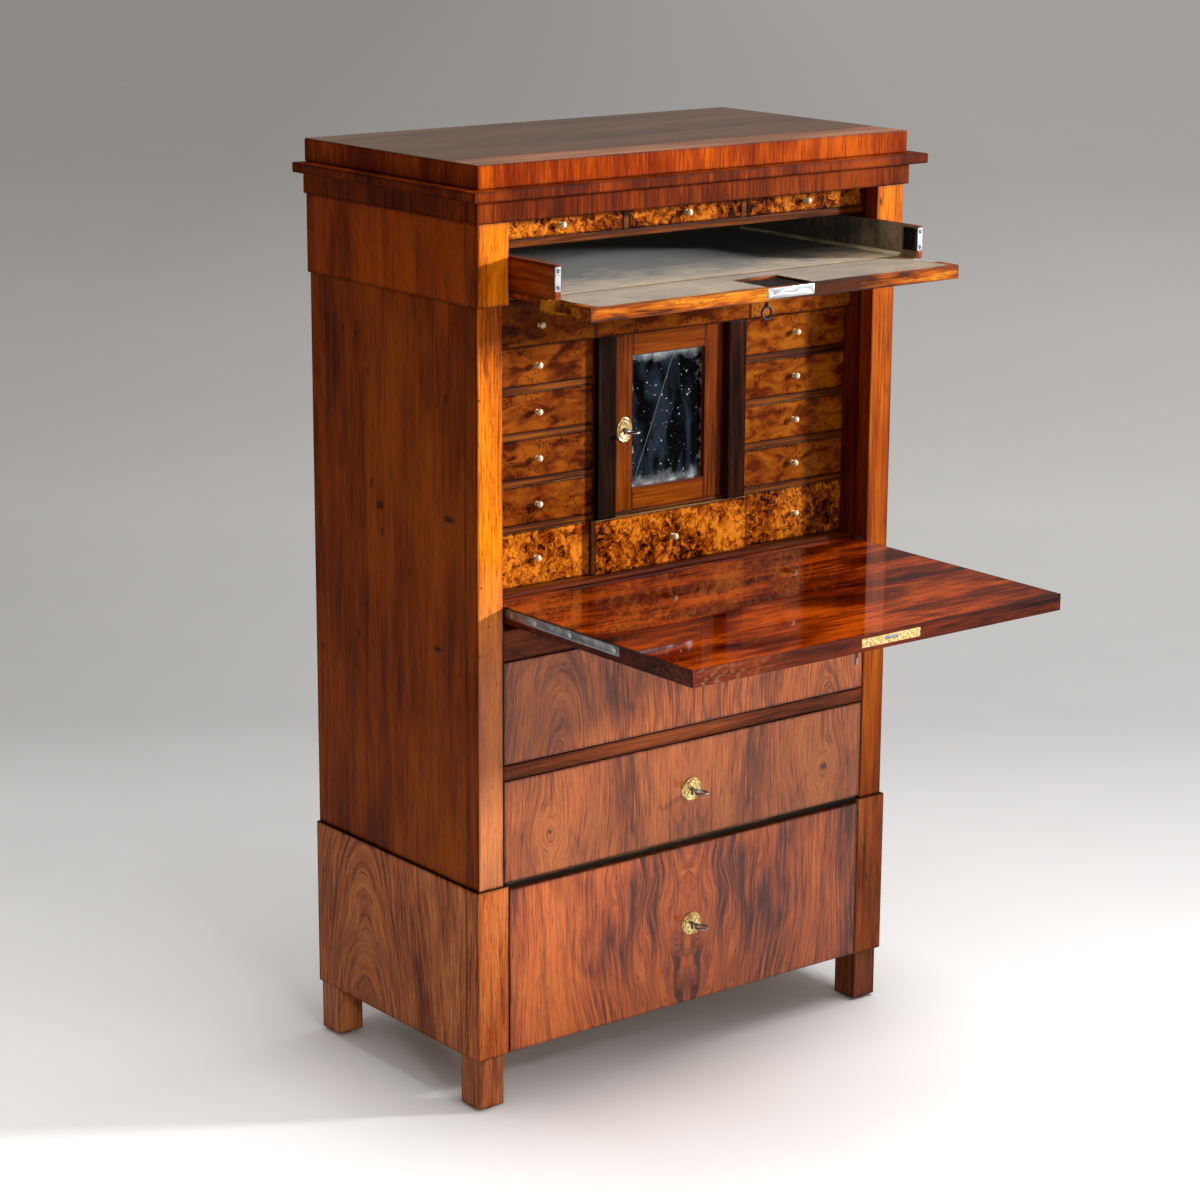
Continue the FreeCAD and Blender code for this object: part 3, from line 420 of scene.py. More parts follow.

# CASE INSIDE: FLOORS, RUNNERS, LINERS AND BACK
# Carcase boards that are hardly seen: pine floors and runners, walnut-faced liners beside the writing space.
# The back is three wide pine boards, sawn and left bare, nailed into rebates.
# Rails and liners give a dark brown, the floors' front edges a painted-shade black, and the sawn back a dry
# tan.
rails_veneer = veneer("cross_walnut_rail", "#3c180a", "#703417", "#8c4824", band=0.02, stretch=16,
                      flecks=0.3)
edge_painted_shade = veneer("pine_edge_painted_shade", "#050201", "#120703", "#1e0d06", stretch=10, polish=0.6, edges=0.2)
liner_veneer = veneer("walnut_liner", "#350f01", "#5d2002", "#783103", band=0.022, stretch=20)
back_pine = veneer("sawn_pine_back", "#7d5837", "#a3764a", "#bf9262", band=0.045, stretch=16, flecks=0.9,
                   vein=0.5, polish=0.8, coat=0.0)
dress("carcase_floors", "base_boards", "case", "back_wood", [inner_wood, edge_painted_shade],
      pick=lambda n, normal: int(normal.y < -0.3))
dress("drawer_runners", "runners", "case", "back_wood", [inner_wood])
dress("side_liners", "inner_liners", "case", "walnut_veneer", [liner_veneer], along="z")
dress("pine_back", "back_boards", "case", "back_wood", [back_pine], along="z", edge=0.002)
dress("drawer_rails_veneered", "drawer_rails", "case", "walnut_veneer", [rails_veneer], along="x")

# CROWN
# Fascia boards, a projecting cornice slab and two top boards, veneered with short upright grain on the faces.
# The wide top leaf shows the joint of its two boards.


def upright(tree):
    """Grain that stands upright on every face of an edge, as on cross-banded veneer."""
    parts = add(tree, "TexCoord", out="Object")
    parts = add(tree, "SeparateXYZ", [parts], out=None)
    return add(tree, "CombineXYZ", [parts[0], parts[2], parts[1]])


# Cross-banding gives short upright lines of red-brown with hardly any shine. The top boards are varnished.
banded = {"band": 0.01, "stretch": 8, "streaks": 0.0026, "hair": 0.0016, "rings": 0.3, "vein": 0.1,
          "cloud": 0.9, "figure": upright, "gloss": 0.03, "coat": 0.0}
crown_veneer = veneer("cross_cut_crown_leaf", "#631a00", "#852f00", "#ab4b03", flecks=0.25, polish=0.26,
                      **banded)
fascia_veneer = veneer("fascia_leaf", "#421302", "#652302", "#873705", flecks=0.3, **banded)
# Both top leaves are lifted and greyed in colour by a painted sheen, the front board's the most.
front_top_painted_sheen = veneer("front_top_leaf", "#6a402d", "#976044", "#b77c58", stretch=24, flecks=0.3, coat=0.7,
                   clear=0.16, edges=1.0)
rear_top_painted_sheen = veneer("rear_top_leaf", "#3f1f10", "#61351d", "#794b2b", stretch=24, coat=1.0, clear=0.14)
dress("fascia", "fascia_boards", "case", "walnut_veneer", [fascia_veneer], along="z", edge=0.0015)
dress("cornice", "cornice_slab", "case", "walnut_veneer", [fascia_veneer], along="x", edge=0.002)
dress("top", "top_boards", "case", "walnut_veneer", [front_top_painted_sheen, rear_top_painted_sheen, crown_veneer],
      pick=lambda n, normal: n if normal.z > 0.5 else 2, along="x", edge=0.0025)

# WRITING INTERIOR
# Thin shelves and partitions that carry the small drawers, with walnut-lipped front edges.
# Two flat pilasters, ebonised and dark walnut, stand beside the door. A threshold strip meets the fall front.
# Ebonised wood gives a near-black with brown showing through, and the lips a dull golden brown.
shelf_veneer = veneer("walnut_shelf_lip", "#2c1002", "#5c2a05", "#84450b", band=0.012, stretch=24,
                      flecks=0.3, gloss=0.05)
flat_black = {"band": 0.014, "gloss": 0.03, "coat": 0.0}
left_pilaster = veneer("ebonised_pilaster", "#040100", "#120501", "#261005", cloud=0.3, **flat_black)
right_pilaster = veneer("dark_walnut_pilaster", "#100501", "#301204", "#5a280e", **flat_black)
dress("interior_shelves_lipped", "interior_shelves", "case", "walnut_veneer", [shelf_veneer], along="x",
      edge=0.0008)
dress("interior_partitions_thin", "interior_partitions", "case", "walnut_veneer", [shelf_veneer], along="z",
      edge=0.0008)
dress("dark_pilasters", "pilasters", "case", "dark_wood", [right_pilaster, left_pilaster],
      pick=lambda n, normal: n, along="z", edge=0.0015)
dress("threshold", "threshold_strip", "case", "dark_wood", [liner_veneer], along="x", edge=0.001)
dress("frieze_shelf_lipped", "frieze_shelf", "case", "walnut_veneer", [shelf_veneer], along="x", edge=0.001)

# LARGE DRAWERS
# Three wide drawers: oak boxes with fronts veneered in book-matched walnut, mirrored at the middle.
# The upper and middle leaves carry an eye near each end, the base drawer a flame with dark zigzag veins.


def matched(centre, eye, level, squeeze, sway, flame=0.0, knot=0.0, run=2):
    """Book-matched grain: mirrored about a centre line, running round an eye at each side.

    flame makes the lines near the centre tremble, as in wood cut from a fork. With knot, the grain is
    straight and only bends round a knot of that radius. run is the grain's axis, Z, or Y on a lowered flap.
    """
    def figure(tree):
        spot = add(tree, "TexCoord", out="Object")
        parts = add(tree, "SeparateXYZ", [spot], out=None)
        side = add(tree, "Math", [parts[0], centre], "SUBTRACT")
        fold = add(tree, "Math", [side], "ABSOLUTE")
        folded = add(tree, "CombineXYZ", [fold, 0.37, parts[run]])
        wander = add(tree, "TexNoise", {"Vector": folded, "Scale": 6.0, "Detail": 0.5})
        tongue = fibre_lines(tree, folded, (20, 20, 9), 1.0)
        across = add(tree, "Math", [fold, eye], "SUBTRACT")
        rise = add(tree, "Math", [parts[run], level], "SUBTRACT")
        rise = add(tree, "Math", [rise, squeeze], "MULTIPLY")
        line = add(tree, "CombineXYZ", [across, rise])
        ring = add(tree, "VectorMath", [line], "LENGTH", out="Value")
        if knot:
            bend = add(tree, "Math", [knot, ring], "DIVIDE")
            bend = add(tree, "Math", [bend, 2.0], "POWER")
            bend = add(tree, "Math", [1.0, bend], "SUBTRACT", use_clamp=True)
            flow = add(tree, "Math", [across, bend], "MULTIPLY")
            core = add(tree, "Math", [ring, knot], "MINIMUM")
            ring = add(tree, "Math", [core, flow], "ADD")
        ring = add(tree, "Math", [wander, sway, ring], "MULTIPLY_ADD")
        lick = add(tree, "MapRange", [fold, 0.04, 0.2, flame, flame * 0.05])
        ring = add(tree, "Math", [tongue, lick, ring], "MULTIPLY_ADD")
        turn = add(tree, "Math", [fold, 0.12], "MULTIPLY")
        return add(tree, "CombineXYZ", [ring, parts[run], turn])
    return figure


# Figured walnut under a full varnish gives a lively red-brown with dark lines and a clear shine.
varnished = {"vein": 0.35, "flecks": 0.3, "coat": 0.7, "clear": 0.05, "edges": 0.85}
upper_leaf = veneer("upper_drawer_leaf", "#581f08", "#a6521f", "#c87028", band=0.05, stretch=7, rings=0.26,
                    cloud=0.4, figure=matched(0.015, 0.263, 0.505, 0.33, 0.05), polish=0.24, **fine,
                    **varnished)
drawer_knots = [((0.272, 0.0, 0.412), (0.011, 0.2, 0.009)), ((-0.266, 0.0, 0.412), (0.006, 0.2, 0.005))]
middle_leaf = veneer("middle_drawer_leaf", "#562008", "#9c4e1e", "#bc672c", band=0.045, stretch=7,
                     rings=0.26, cloud=0.4, figure=matched(0.003, 0.269, 0.412, 0.6, 0.04, knot=0.018),
                     polish=0.24, marks=drawer_knots, **fine, **varnished)
# The base leaf is painted lighter at its left end and darker to the right, a painted pool of light and shade.
base_leaf = veneer("base_drawer_flame", "#521a06", "#b4521c", "#d87028", band=0.08, stretch=6,
                   streaks=0.005, hair=0.002, pores=0.7, rings=0.2, painted_light_left=0.05, polish=0.22,
                   figure=matched(-0.004, 0.0, 0.36, 0.22, 0.05, 0.06), **varnished)
# Planed oak gives a dry pale tan.
drawer_oak = veneer("drawer_oak", "#8b6a41", "#b08a58", "#c9a571", band=0.02, stretch=18, vein=0.15,
                    flecks=0.15, polish=0.6, coat=0.0, edges=0.3)
leaves = {"upper_drawer": upper_leaf, "middle_drawer": middle_leaf, "base_drawer": base_leaf}
for drawer, leaf in leaves.items():
    dress(f"{drawer}_veneered", drawer, drawer, "walnut_veneer", [leaf, drawer_oak, rails_veneer],
          pick=lambda n, normal: 1 if n else 0 if normal.y < -0.3 else 2,
          along=lambda n: "z" if n == 0 else None, edge=0.0013)

# DRAWER LOCKS, ESCUTCHEONS AND KEYS
# Pressed gilt-brass roses with a beaded rim and a dished ring round the keyhole, pinned to the fronts.
# Iron rim locks sit behind them. The five keys of the piece have ring bows, four of steel and one of iron.


def metal(name, bright, dull, rough, worn, grit=70.0):
    """A metal with tarnish in patches and scratches that catch the light.

    grit is patches to the metre: 70 makes them 14 mm across and 240 makes them 4 mm. Scratches finer than
    0.1 mm are drawn about 1.1 by 8 mm, because finer ones would not show.
    """
    made, tree, shader = material(name)
    spot = add(tree, "TexCoord", out="Object")
    patch = add(tree, "TexNoise", {"Vector": spot, "Scale": grit, "Detail": 4.0})
    colour = add(tree, "ValToRGB", [patch], stops=[(0.34, dull), (0.64, bright)])
    scratch = fibre_lines(tree, spot, (900, 120, 900), 2.0)
    haze = add(tree, "MapRange", [patch, 0.3, 0.7, worn, rough])
    haze = add(tree, "Math", [scratch, 0.1, haze], "MULTIPLY_ADD")
    bump = add(tree, "Bump", {"Height": scratch, "Strength": 0.15, "Distance": 0.0002})
    feed(shader, {"Metallic": 1.0, "Base Color": colour, "Roughness": haze, "Normal": bump})
    return made


# Gilding gives a bright yellow that is browned in the hollows, steel a soft grey, iron a dull black.
gilt_brass = metal("gilt_brass", "#ffe8a8", "#a67c36", 0.2, 0.4, grit=240.0)
steel = metal("worn_steel", "#9b9d9f", "#74767a", 0.3, 0.45)
bright_steel = metal("filed_steel", "#e6e5e2", "#bcbcba", 0.2, 0.32)
iron = metal("black_iron", "#3a3836", "#1b1a19", 0.45, 0.65)


def start_tree(name, sizes):
    """A geometry tree with an input for spots, named sizes and a finish, and its inputs."""
    tree = bpy.data.node_groups.new(name, "GeometryNodeTree")
    for label, kind in {"Spots": "Geometry", **sizes, "Finish": "Material"}.items():
        tree.interface.new_socket(label, in_out="INPUT", socket_type=f"NodeSocket{kind}")
    tree.interface.new_socket("Made", in_out="OUTPUT", socket_type="NodeSocketGeometry")
    return tree, add(tree, "NodeGroupInput", out=None)


def end_tree(tree, given, shape, **turn):
    """The end of a geometry tree: the shape is set on every spot, made real and given its finish."""
    row = add(tree, "InstanceOnPoints", {"Points": given["Spots"], "Instance": shape, **turn})
    row = add(tree, "RealizeInstances", {"Geometry": row})
    row = add(tree, "SetMaterial", {"Geometry": row, "Material": given["Finish"]})
    add(tree, "NodeGroupOutput", [row], out=None)


def grown(name, tree, spots, finish, sizes):
    """A plain mesh piece that a geometry tree grows on a few spots."""
    seed = bpy.data.meshes.new(f"{name}_spots")
    seed.from_pydata(spots, [], [])
    carrier = placed(f"{name}_carrier", seed)
    growth = carrier.modifiers.new("growth", "NODES")
    growth.node_group = tree
    values = {**sizes, "Finish": finish}
    for socket in tree.interface.items_tree:
        if socket.in_out == "INPUT" and socket.name in values:
            growth[socket.identifier] = values[socket.name]
    settled = carrier.evaluated_get(bpy.context.evaluated_depsgraph_get())
    mesh = bpy.data.meshes.new_from_object(settled)
    mesh.name = name
    bpy.data.objects.remove(carrier)
    return placed(name, mesh)


def rose(name, spot, half, deep, facing="front"):
    """A pressed plate round a keyhole: boss, dished ring, shelf for the beads and a thin rim, lathed or oval.

    facing is front, or down on a flap that lies open. The dark lock shows in the hole round the key's stem.
    """
    eye_radius = 0.0038
    slot_half = 0.0021
    stem_radius = 0.00245
    # The pressed outline, as shares of the half size and of the depth.
    turned = [(0.5, 0.85), (0.53, 0.96), (0.58, 0.96), (0.61, 0.5), (0.66, 0.4), (0.77, 0.4), (0.82, 0.62),
              (0.94, 0.62), (0.985, 0.4), (1.0, 0.15), (1.0, 0.0)]
    steps = 120
    angles = [2 * math.pi * number / steps for number in range(steps)]
    hole = []
    for angle in angles:
        slot = min(slot_half / max(abs(math.cos(angle)), 0.01),
                   half[0] * 0.47 / max(-math.sin(angle), 0.01))
        hole.append(max(eye_radius, slot) if math.sin(angle) < 0 else eye_radius)

    def ring(shape, lengths, level):
        made = []
        for angle, (wide, high) in zip(angles, lengths):
            side, rise = wide * math.cos(angle), high * math.sin(angle)
            place = (side, -level, rise) if facing == "front" else (side, -rise, -level)
            made.append(shape.verts.new(Vector(spot) + Vector(place)))
        return made

    shape = bmesh.new()
    gilt = [ring(shape, [(h, h) for h in hole], level) for level in (0.0, deep * 0.85)]
    gilt += [ring(shape, [(half[0] * r, half[1] * r)] * steps, deep * level) for r, level in turned]
    dark = [ring(shape, [(stem_radius, stem_radius)] * steps, deep * level) for level in (0.05, 0.3)]
    dark += [ring(shape, [(h * 1.04, h * 1.04) for h in hole], deep * level) for level in (0.3, 0.05)]
    for rings, finish in ((gilt, 0), (dark, 1)):
        for inner, outer in zip(rings, rings[1:] + rings[:1]):
            for number in range(steps):
                corners = [inner[number - 1], inner[number], outer[number], outer[number - 1]]
                shape.faces.new(corners).material_index = finish
    bmesh.ops.recalc_face_normals(shape, faces=shape.faces)
    mesh = bpy.data.meshes.new(name)
    shape.to_mesh(mesh)
    shape.free()
    mesh.materials.append(gilt_brass)
    mesh.materials.append(iron)
    mesh.shade_smooth()
    mesh.set_sharp_from_angle(angle=sharp_angle)
    return placed(name, mesh)


# The rim: a ring of beads on a thin round wire, oval where its half sizes differ.
beaded_rim, given = start_tree("beaded_rim", {"Half width": "Float", "Half height": "Float", "Bead": "Float",
                                              "Count": "Int"})
tree = beaded_rim
ring = add(tree, "MeshCircle", {"Vertices": given["Count"], "Radius": 1.0})
oval = add(tree, "CombineXYZ", [given["Half width"], given["Half height"], 1.0])
ring = add(tree, "Transform", {"Geometry": ring, "Scale": oval})
ring = add(tree, "Transform", {"Geometry": ring, "Rotation": (math.pi / 2, 0, 0)})
bead = add(tree, "MeshIcoSphere", {"Radius": given["Bead"], "Subdivisions": 2})
row = add(tree, "InstanceOnPoints", {"Points": ring, "Instance": bead})
row = add(tree, "RealizeInstances", {"Geometry": row})
wire = add(tree, "MeshToCurve", {"Mesh": ring})
wire_section = add(tree, "CurvePrimitiveCircle", {"Resolution": 8, "Radius": given["Bead"]})
wire = add(tree, "Transform", {"Geometry": wire, "Scale": (0.72, 1.0, 0.72)})
wire = add(tree, "CurveToMesh", {"Curve": wire, "Profile Curve": wire_section})
both = add(tree, "JoinGeometry", [row])
feed(both.node, {0: wire})
both = add(tree, "SetShadeSmooth", {"Geometry": both})
end_tree(tree, given, both)

lock_x = 0.003
rim_sizes = {"Half width": 0.0168, "Half height": 0.0168, "Bead": 0.00115, "Count": 40}
for drawer in ("upper", "middle", "base"):
    lock, body = f"{drawer}_lock", f"{drawer}_drawer"
    low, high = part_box(lock)
    middle = (low.z + high.z) / 2
    dress(f"{lock}_iron", lock, body, "gilt_brass", [iron], only=(1,), edge=0.0009)
    fit(rose(f"{lock}_rose", (lock_x, low.y + 0.003, middle), (0.019, 0.019), 0.003), body, "gilt_brass")
    rim = grown(f"{lock}_beads", beaded_rim, [(lock_x, low.y + 0.0012, middle)], gilt_brass, rim_sizes)
    fit(rim, body, "gilt_brass")
for key in ("middle_key", "base_key", "flap_key", "drop_key", "door_key"):
    dress(f"{key}_steel", key, key, "bright_steel", [iron if key == "drop_key" else steel], edge=0.0,
          rounded=True)

# FALL FRONT
# A heavy flap veneered inside with walnut laid lengthways and polished to a mirror, bruised at its edges.
# Steel arms let into its ends turn on pins in the case, and a brass lock plate sits in its outer edge.
# Its varnish gives sharp reflections over deep red-brown clouds. The outside is matched as on the drawers.
flap_leaf = veneer("fall_front_leaf", "#2c0500", "#5e1900", "#9c3c07", stretch=5, cloud=0.9, vein=0.3,
                   flecks=0.4, polish=0.2, gloss=0.0, coat=0.8, clear=0.025, ripple=0.02, edges=0.8)
flap_edge = veneer("fall_front_edge", "#1b0501", "#471503", "#692508", band=0.012, flecks=0.8, polish=0.35,
                   edges=0.3, chips=(-0.33, -0.422, 0.748))
outside = {"stretch": 7, "streaks": 0.0035, "hair": 0.0018, "rings": 0.3, "cloud": 0.45, "pores": 0.7,
           "polish": 0.24, "clear": 0.05, "edges": 0.85}
flap_outer = veneer("fall_front_outside", "#511c08", "#93471b", "#ae5c23", band=0.06, coat=0.5,
                    figure=matched(0.0, 0.2, -0.1, 0.4, 0.05, 0.03, run=1), **outside)
dress("fall_front_veneered", "fall_front", "flap", "walnut_veneer", [flap_leaf, flap_edge, flap_outer],
      along="x", pick=lambda n, normal: 0 if normal.z > 0.5 else 2 if normal.z < -0.5 else 1, edge=0.0018)
dress("steel_arms", "hinge_arms", "flap", "bright_steel", [steel], only=(0, 1), edge=0.0005, rounded=True)
dress("steel_pivot_plates", "pivot_plates", "case", "bright_steel", [steel], edge=0.0005, rounded=True)
dress("flap_lock_plate", "flap_lock", "flap", "gilt_brass", [gilt_brass, iron], only=(0, 1),
      pick=lambda n, normal: n, edge=0.0004, rounded=True)
fit(rose("flap_rose", (0.012, -0.351, 0.7415), (0.017, 0.017), 0.002, "down"), "flap", "gilt_brass")
dress("flap_bolt_steel", "flap_bolt", "flap_bolt", "bright_steel", [steel], edge=0.0006)

# Screws with filed heads, their slots left at any angle.
slotted_screws, given = start_tree("slotted_screws", {"Head": "Float", "Deep": "Float", "Turn": "Vector"})
tree = slotted_screws
head = add(tree, "MeshCylinder", {"Vertices": 20, "Radius": given["Head"], "Depth": given["Deep"]})
slot_width = add(tree, "Math", [given["Head"], 0.34], "MULTIPLY")
slot_length = add(tree, "Math", [given["Head"], 3.0], "MULTIPLY")
slot_size = add(tree, "CombineXYZ", [slot_length, slot_width, given["Deep"]])
blade = add(tree, "MeshCube", {"Size": slot_size})
lift = add(tree, "Math", [given["Deep"], 0.6], "MULTIPLY")
lift = add(tree, "CombineXYZ", {2: lift})
blade = add(tree, "Transform", {"Geometry": blade, "Translation": lift})
slotted = add(tree, "MeshBoolean", {"Mesh 1": head, "Mesh 2": blade}, "DIFFERENCE")
spin = add(tree, "RandomValue", {"Max": (0.0, 0.0, 3.1), "Seed": 5}, data_type="FLOAT_VECTOR")
spin = add(tree, "EulerToRotation", [spin])
facing = add(tree, "EulerToRotation", [given["Turn"]])
turned = add(tree, "RotateRotation", [facing, spin], rotation_space="LOCAL")
end_tree(tree, given, slotted, Rotation=turned)

facing_front = (math.pi / 2, 0, 0)
arm_face, arm_level = 0.3474, 0.757
arm_holes = (-0.0169, -0.0718, -0.1539, -0.254)
for hand, side in (("right", 1), ("left", -1)):
    spots = [(side * arm_face, y, arm_level) for y in arm_holes]
    sizes = {"Head": 0.0036, "Deep": 0.002, "Turn": (0, side * math.pi / 2, 0)}
    fit(grown(f"arm_screws_{hand}", slotted_screws, spots, bright_steel, sizes), "flap", "bright_steel")
spots = [(x, -0.4214, 0.75375) for x in (-0.0379, 0.0619)]
sizes = {"Head": 0.0031, "Deep": 0.0016, "Turn": facing_front}
fit(grown("flap_plate_screws", slotted_screws, spots, gilt_brass, sizes), "flap", "gilt_brass")

# SMALL DRAWERS
# Seventeen little drawers of thin oak, with burl fronts in the bottom row and the frieze, and mottled walnut
# in the columns and the top row. Each has one turned bone knob, its neck screwed through the front.


def burl(name, dark, middle, light, eye, size=0.011, long=1.0, swirl=0.02, rough=0.7, polish=0.24):
    """Burl walnut: cloudy golden wood with swirling lines and clusters of dark eyes about 5 mm across.

    size is the width of a cloud, and long its length over that. Crowds of eyes are about 28 mm wide.
    """
    made, tree, shader = material(name)
    grain = add(tree, "Attribute", out="Vector", attribute_name="grain")
    steps = (1 / size, 1 / (size * long), 1 / size)
    drift = add(tree, "TexNoise", {"Vector": grain, "Scale": 45.0, "Detail": 3.0}, out="Color")
    drift = add(tree, "VectorMath", [drift, (swirl, swirl, swirl)], "MULTIPLY")
    curl = add(tree, "VectorMath", [grain, drift], "ADD")
    cloud = fibre_lines(tree, curl, steps, 6.0, Roughness=rough, Distortion=0.8)
    wide = add(tree, "TexNoise", {"Vector": grain, "Scale": 16.0, "Detail": 2.0})
    wide = add(tree, "MapRange", [wide, 0.0, 1.0, -0.25, 0.25])
    cloud = add(tree, "Math", [cloud, wide], "ADD")
    colour = add(tree, "ValToRGB", [cloud], stops=[(0.36, dark), (0.64, light), (0.48, middle)])
    cells = add(tree, "TexVoronoi", {"Vector": curl, "Scale": 190.0}, out="Distance")
    crowd = add(tree, "TexNoise", {"Vector": grain, "Scale": 36.0, "Detail": 3.0})
    crowd = add(tree, "MapRange", [crowd, 0.46, 0.58, 0.0, eye])
    knot = add(tree, "MapRange", [cells, 0.12, 0.5, 1.0, 0.0])
    knot = add(tree, "Math", [knot, crowd], "MULTIPLY")
    gap = edge_gap(tree)
    rim = add(tree, "MapRange", [gap, 0.0008, 0.004, 0.85, 0.0])
    for share in (knot, rim):
        mixing = {0: share, 6: colour, 7: "#3a1a0a"}
        colour = add(tree, "Mix", mixing, out=2, data_type="RGBA", blend_type="MULTIPLY")
    dull = add(tree, "MapRange", [cloud, 0.3, 0.7, polish, polish + 0.12])
    bump = add(tree, "Bump", {"Height": cloud, "Strength": 0.15, "Distance": 0.0006})
    feed(shader, {"Base Color": colour, "Roughness": dull, "Specular IOR Level": 0.03, "Coat Weight": 0.03,
                  "Coat Roughness": 0.08, "Normal": bump})
    return made


# Burl gives gold with black islands, mottled walnut a quieter brown, made darker on the left by painted
# shade.
golden_burl = burl("golden_burl", "#1f0600", "#7c3402", "#cf771c", 0.95)
mottled_walnut = burl("mottled_walnut", "#521d03", "#783604", "#94500a", 0.85, size=0.018, long=2.4,
                      swirl=0.01, rough=0.55)
painted_shade_walnut = burl("painted_shade_walnut", "#401403", "#662b04", "#824108", 0.85, size=0.02, long=2.4,
                     swirl=0.01, rough=0.5)
small_oak = veneer("thin_oak", "#7d5a33", "#a17a4a", "#bb9663", band=0.012, stretch=18, vein=0.1,
                   flecks=0.1, polish=0.6, coat=0.0, edges=0.3)

# Turned bone gives a warm cream with light under its surface. Its hairs of 0.1 mm are drawn 2 mm wide.
bone, tree, shader = material("turned_bone")
spot = add(tree, "TexCoord", out="Object")
hairs = fibre_lines(tree, spot, (500, 120, 500), 3.0)
cream = add(tree, "ValToRGB", [hairs], stops=[(0.32, "#b99a62"), (0.6, "#ecdfbd")])
feed(shader, {"Base Color": cream, "Roughness": 0.32, "Subsurface Weight": 0.15,
              "Subsurface Radius": (0.004, 0.003, 0.002)})

# The knob's outline, as places along its axis with their share of the head's radius: foot, neck and head.
turning = [(0.0, 0.76), (0.1, 0.74), (0.16, 0.46), (0.34, 0.4), (0.44, 0.5), (0.5, 0.82), (0.62, 1.0),
           (0.76, 0.97), (0.9, 0.7), (1.0, 0.1)]
turned_knobs, given = start_tree("turned_knobs", {"Head radius": "Float", "Length": "Float"})
tree = turned_knobs
tip = add(tree, "CombineXYZ", {2: given["Length"]})
axis = add(tree, "CurvePrimitiveLine", {"End": tip})
axis = add(tree, "ResampleCurve", {"Curve": axis, "Count": 30})
way = add(tree, "SplineParameter", out="Factor")
girth = add(tree, "FloatCurve", {"Value": way})
outline = girth.node.mapping.curves[0].points
for spot, share in turning[1:-1]:
    outline.new(spot, share)
outline[0].location = turning[0]
outline[-1].location = turning[-1]
girth.node.mapping.update()
girth = add(tree, "Math", [girth, given["Head radius"]], "MULTIPLY")
section = add(tree, "CurvePrimitiveCircle", {"Resolution": 16, "Radius": 1.0})
knob = {"Curve": axis, "Profile Curve": section, "Scale": girth, "Fill Caps": True}
knob = add(tree, "CurveToMesh", knob)
knob = add(tree, "SetShadeSmooth", {"Geometry": knob})
outward = add(tree, "EulerToRotation", [facing_front])
end_tree(tree, given, knob, Rotation=outward)

knob_radius = 0.0049
small_drawers = [f"{side}_drawer_{n}" for side in ("left", "right") for n in (1, 2, 3, 4)]
small_drawers += [f"{row}_{side}_drawer" for row in ("bottom", "top", "frieze")
                  for side in ("left", "centre", "right")]
for drawer in small_drawers:
    front = mottled_walnut if drawer[-1].isdigit() or drawer.startswith("top") else golden_burl
    # The left column and the top-left drawer take the darker copy, painted shade.
    front = painted_shade_walnut if drawer.startswith(("left", "top_left")) else front
    dress(f"{drawer}_veneered", drawer, drawer, "burl_veneer", [front, small_oak], only=(0, 1, 2, 3, 4),
          edge=0.0007, pick=lambda n, normal: 0 if n == 0 and normal.y < -0.3 else 1)
    seat = [p for corners in solids_of(drawer)[5] for p in corners]
    middle = [(min(p[i] for p in seat) + max(p[i] for p in seat)) * 5e-7 for i in (0, 2)]
    reach = [min(p[1] for p in seat) * 1e-6, max(p[1] for p in seat) * 1e-6]
    sizes = {"Head radius": knob_radius, "Length": reach[1] - reach[0]}
    knob = grown(f"{drawer}_knob", turned_knobs, [(middle[0], reach[1], middle[1])], bone, sizes)
    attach(knob, drawer)

# CUPBOARD DOOR
# A small framed door on steel pivots between the pilasters, with an old mirror held by a backing board.
# The silvering has gone from the glass at its edges, and an oval brass rose guards the keyhole.
door_walnut = veneer("door_frame_walnut", "#461a02", "#6b2e03", "#813f05", band=0.012, stretch=20,
                     streaks=0.004, rings=0.3, vein=0.15, cloud=0.35, polish=0.24, gloss=0.04, coat=0.05)
dress("door_frame_veneered", "door_frame", "door", "walnut_veneer", [door_walnut, inner_wood], edge=0.001,
      pick=lambda n, normal: int(n == 4))

# Old silvered glass gives a dark blue-grey reflection, with pale haze in patches of 24 mm along its edges,
# specks of about 5 mm and one long slanting scratch.
old_mirror, tree, shader = material("old_mirror")
spot = add(tree, "TexCoord", out="Object")
place = add(tree, "Attribute", out="Vector", attribute_name="place")
stain = {"Vector": spot, "Scale": 42.0, "Detail": 8.0, "Roughness": 0.7, "Distortion": 0.6}
stain = add(tree, "TexNoise", stain)
gap = edge_gap(tree)
gap = add(tree, "Math", [stain, -0.05, gap], "MULTIPLY_ADD")
bare = add(tree, "MapRange", [gap, -0.025, -0.014, 1.0, 0.0])
ends = add(tree, "SeparateXYZ", [place], out=1)
ends = add(tree, "Math", [ends], "ABSOLUTE")
ends = add(tree, "Math", [stain, 0.05, ends], "MULTIPLY_ADD")
ends = add(tree, "MapRange", [ends, 0.108, 0.134, 0.0, 0.85])
speck = add(tree, "TexNoise", {"Vector": spot, "Scale": 210.0, "Detail": 4.0})
speck = add(tree, "MapRange", [speck, 0.67, 0.72, 0.0, 0.8])
slant = add(tree, "VectorMath", [place, (0.93, -0.37, 0.0)], "DOT_PRODUCT", out="Value")
slant = add(tree, "Math", [stain, 0.002, slant], "MULTIPLY_ADD")
slant = add(tree, "Math", [slant, -0.02], "SUBTRACT")
slant = add(tree, "Math", [slant], "ABSOLUTE")
slant = add(tree, "MapRange", [slant, 0.0003, 0.001, 0.25, 0.0])
for wear in (ends, speck, slant):
    bare = add(tree, "Math", [bare, wear], "MAXIMUM")
smear = fibre_lines(tree, spot, (40, 40, 12), 5.0, Distortion=1.0)
smear = add(tree, "ValToRGB", [smear], stops=[(0.45, "#030405"), (0.75, "#303b4a")])
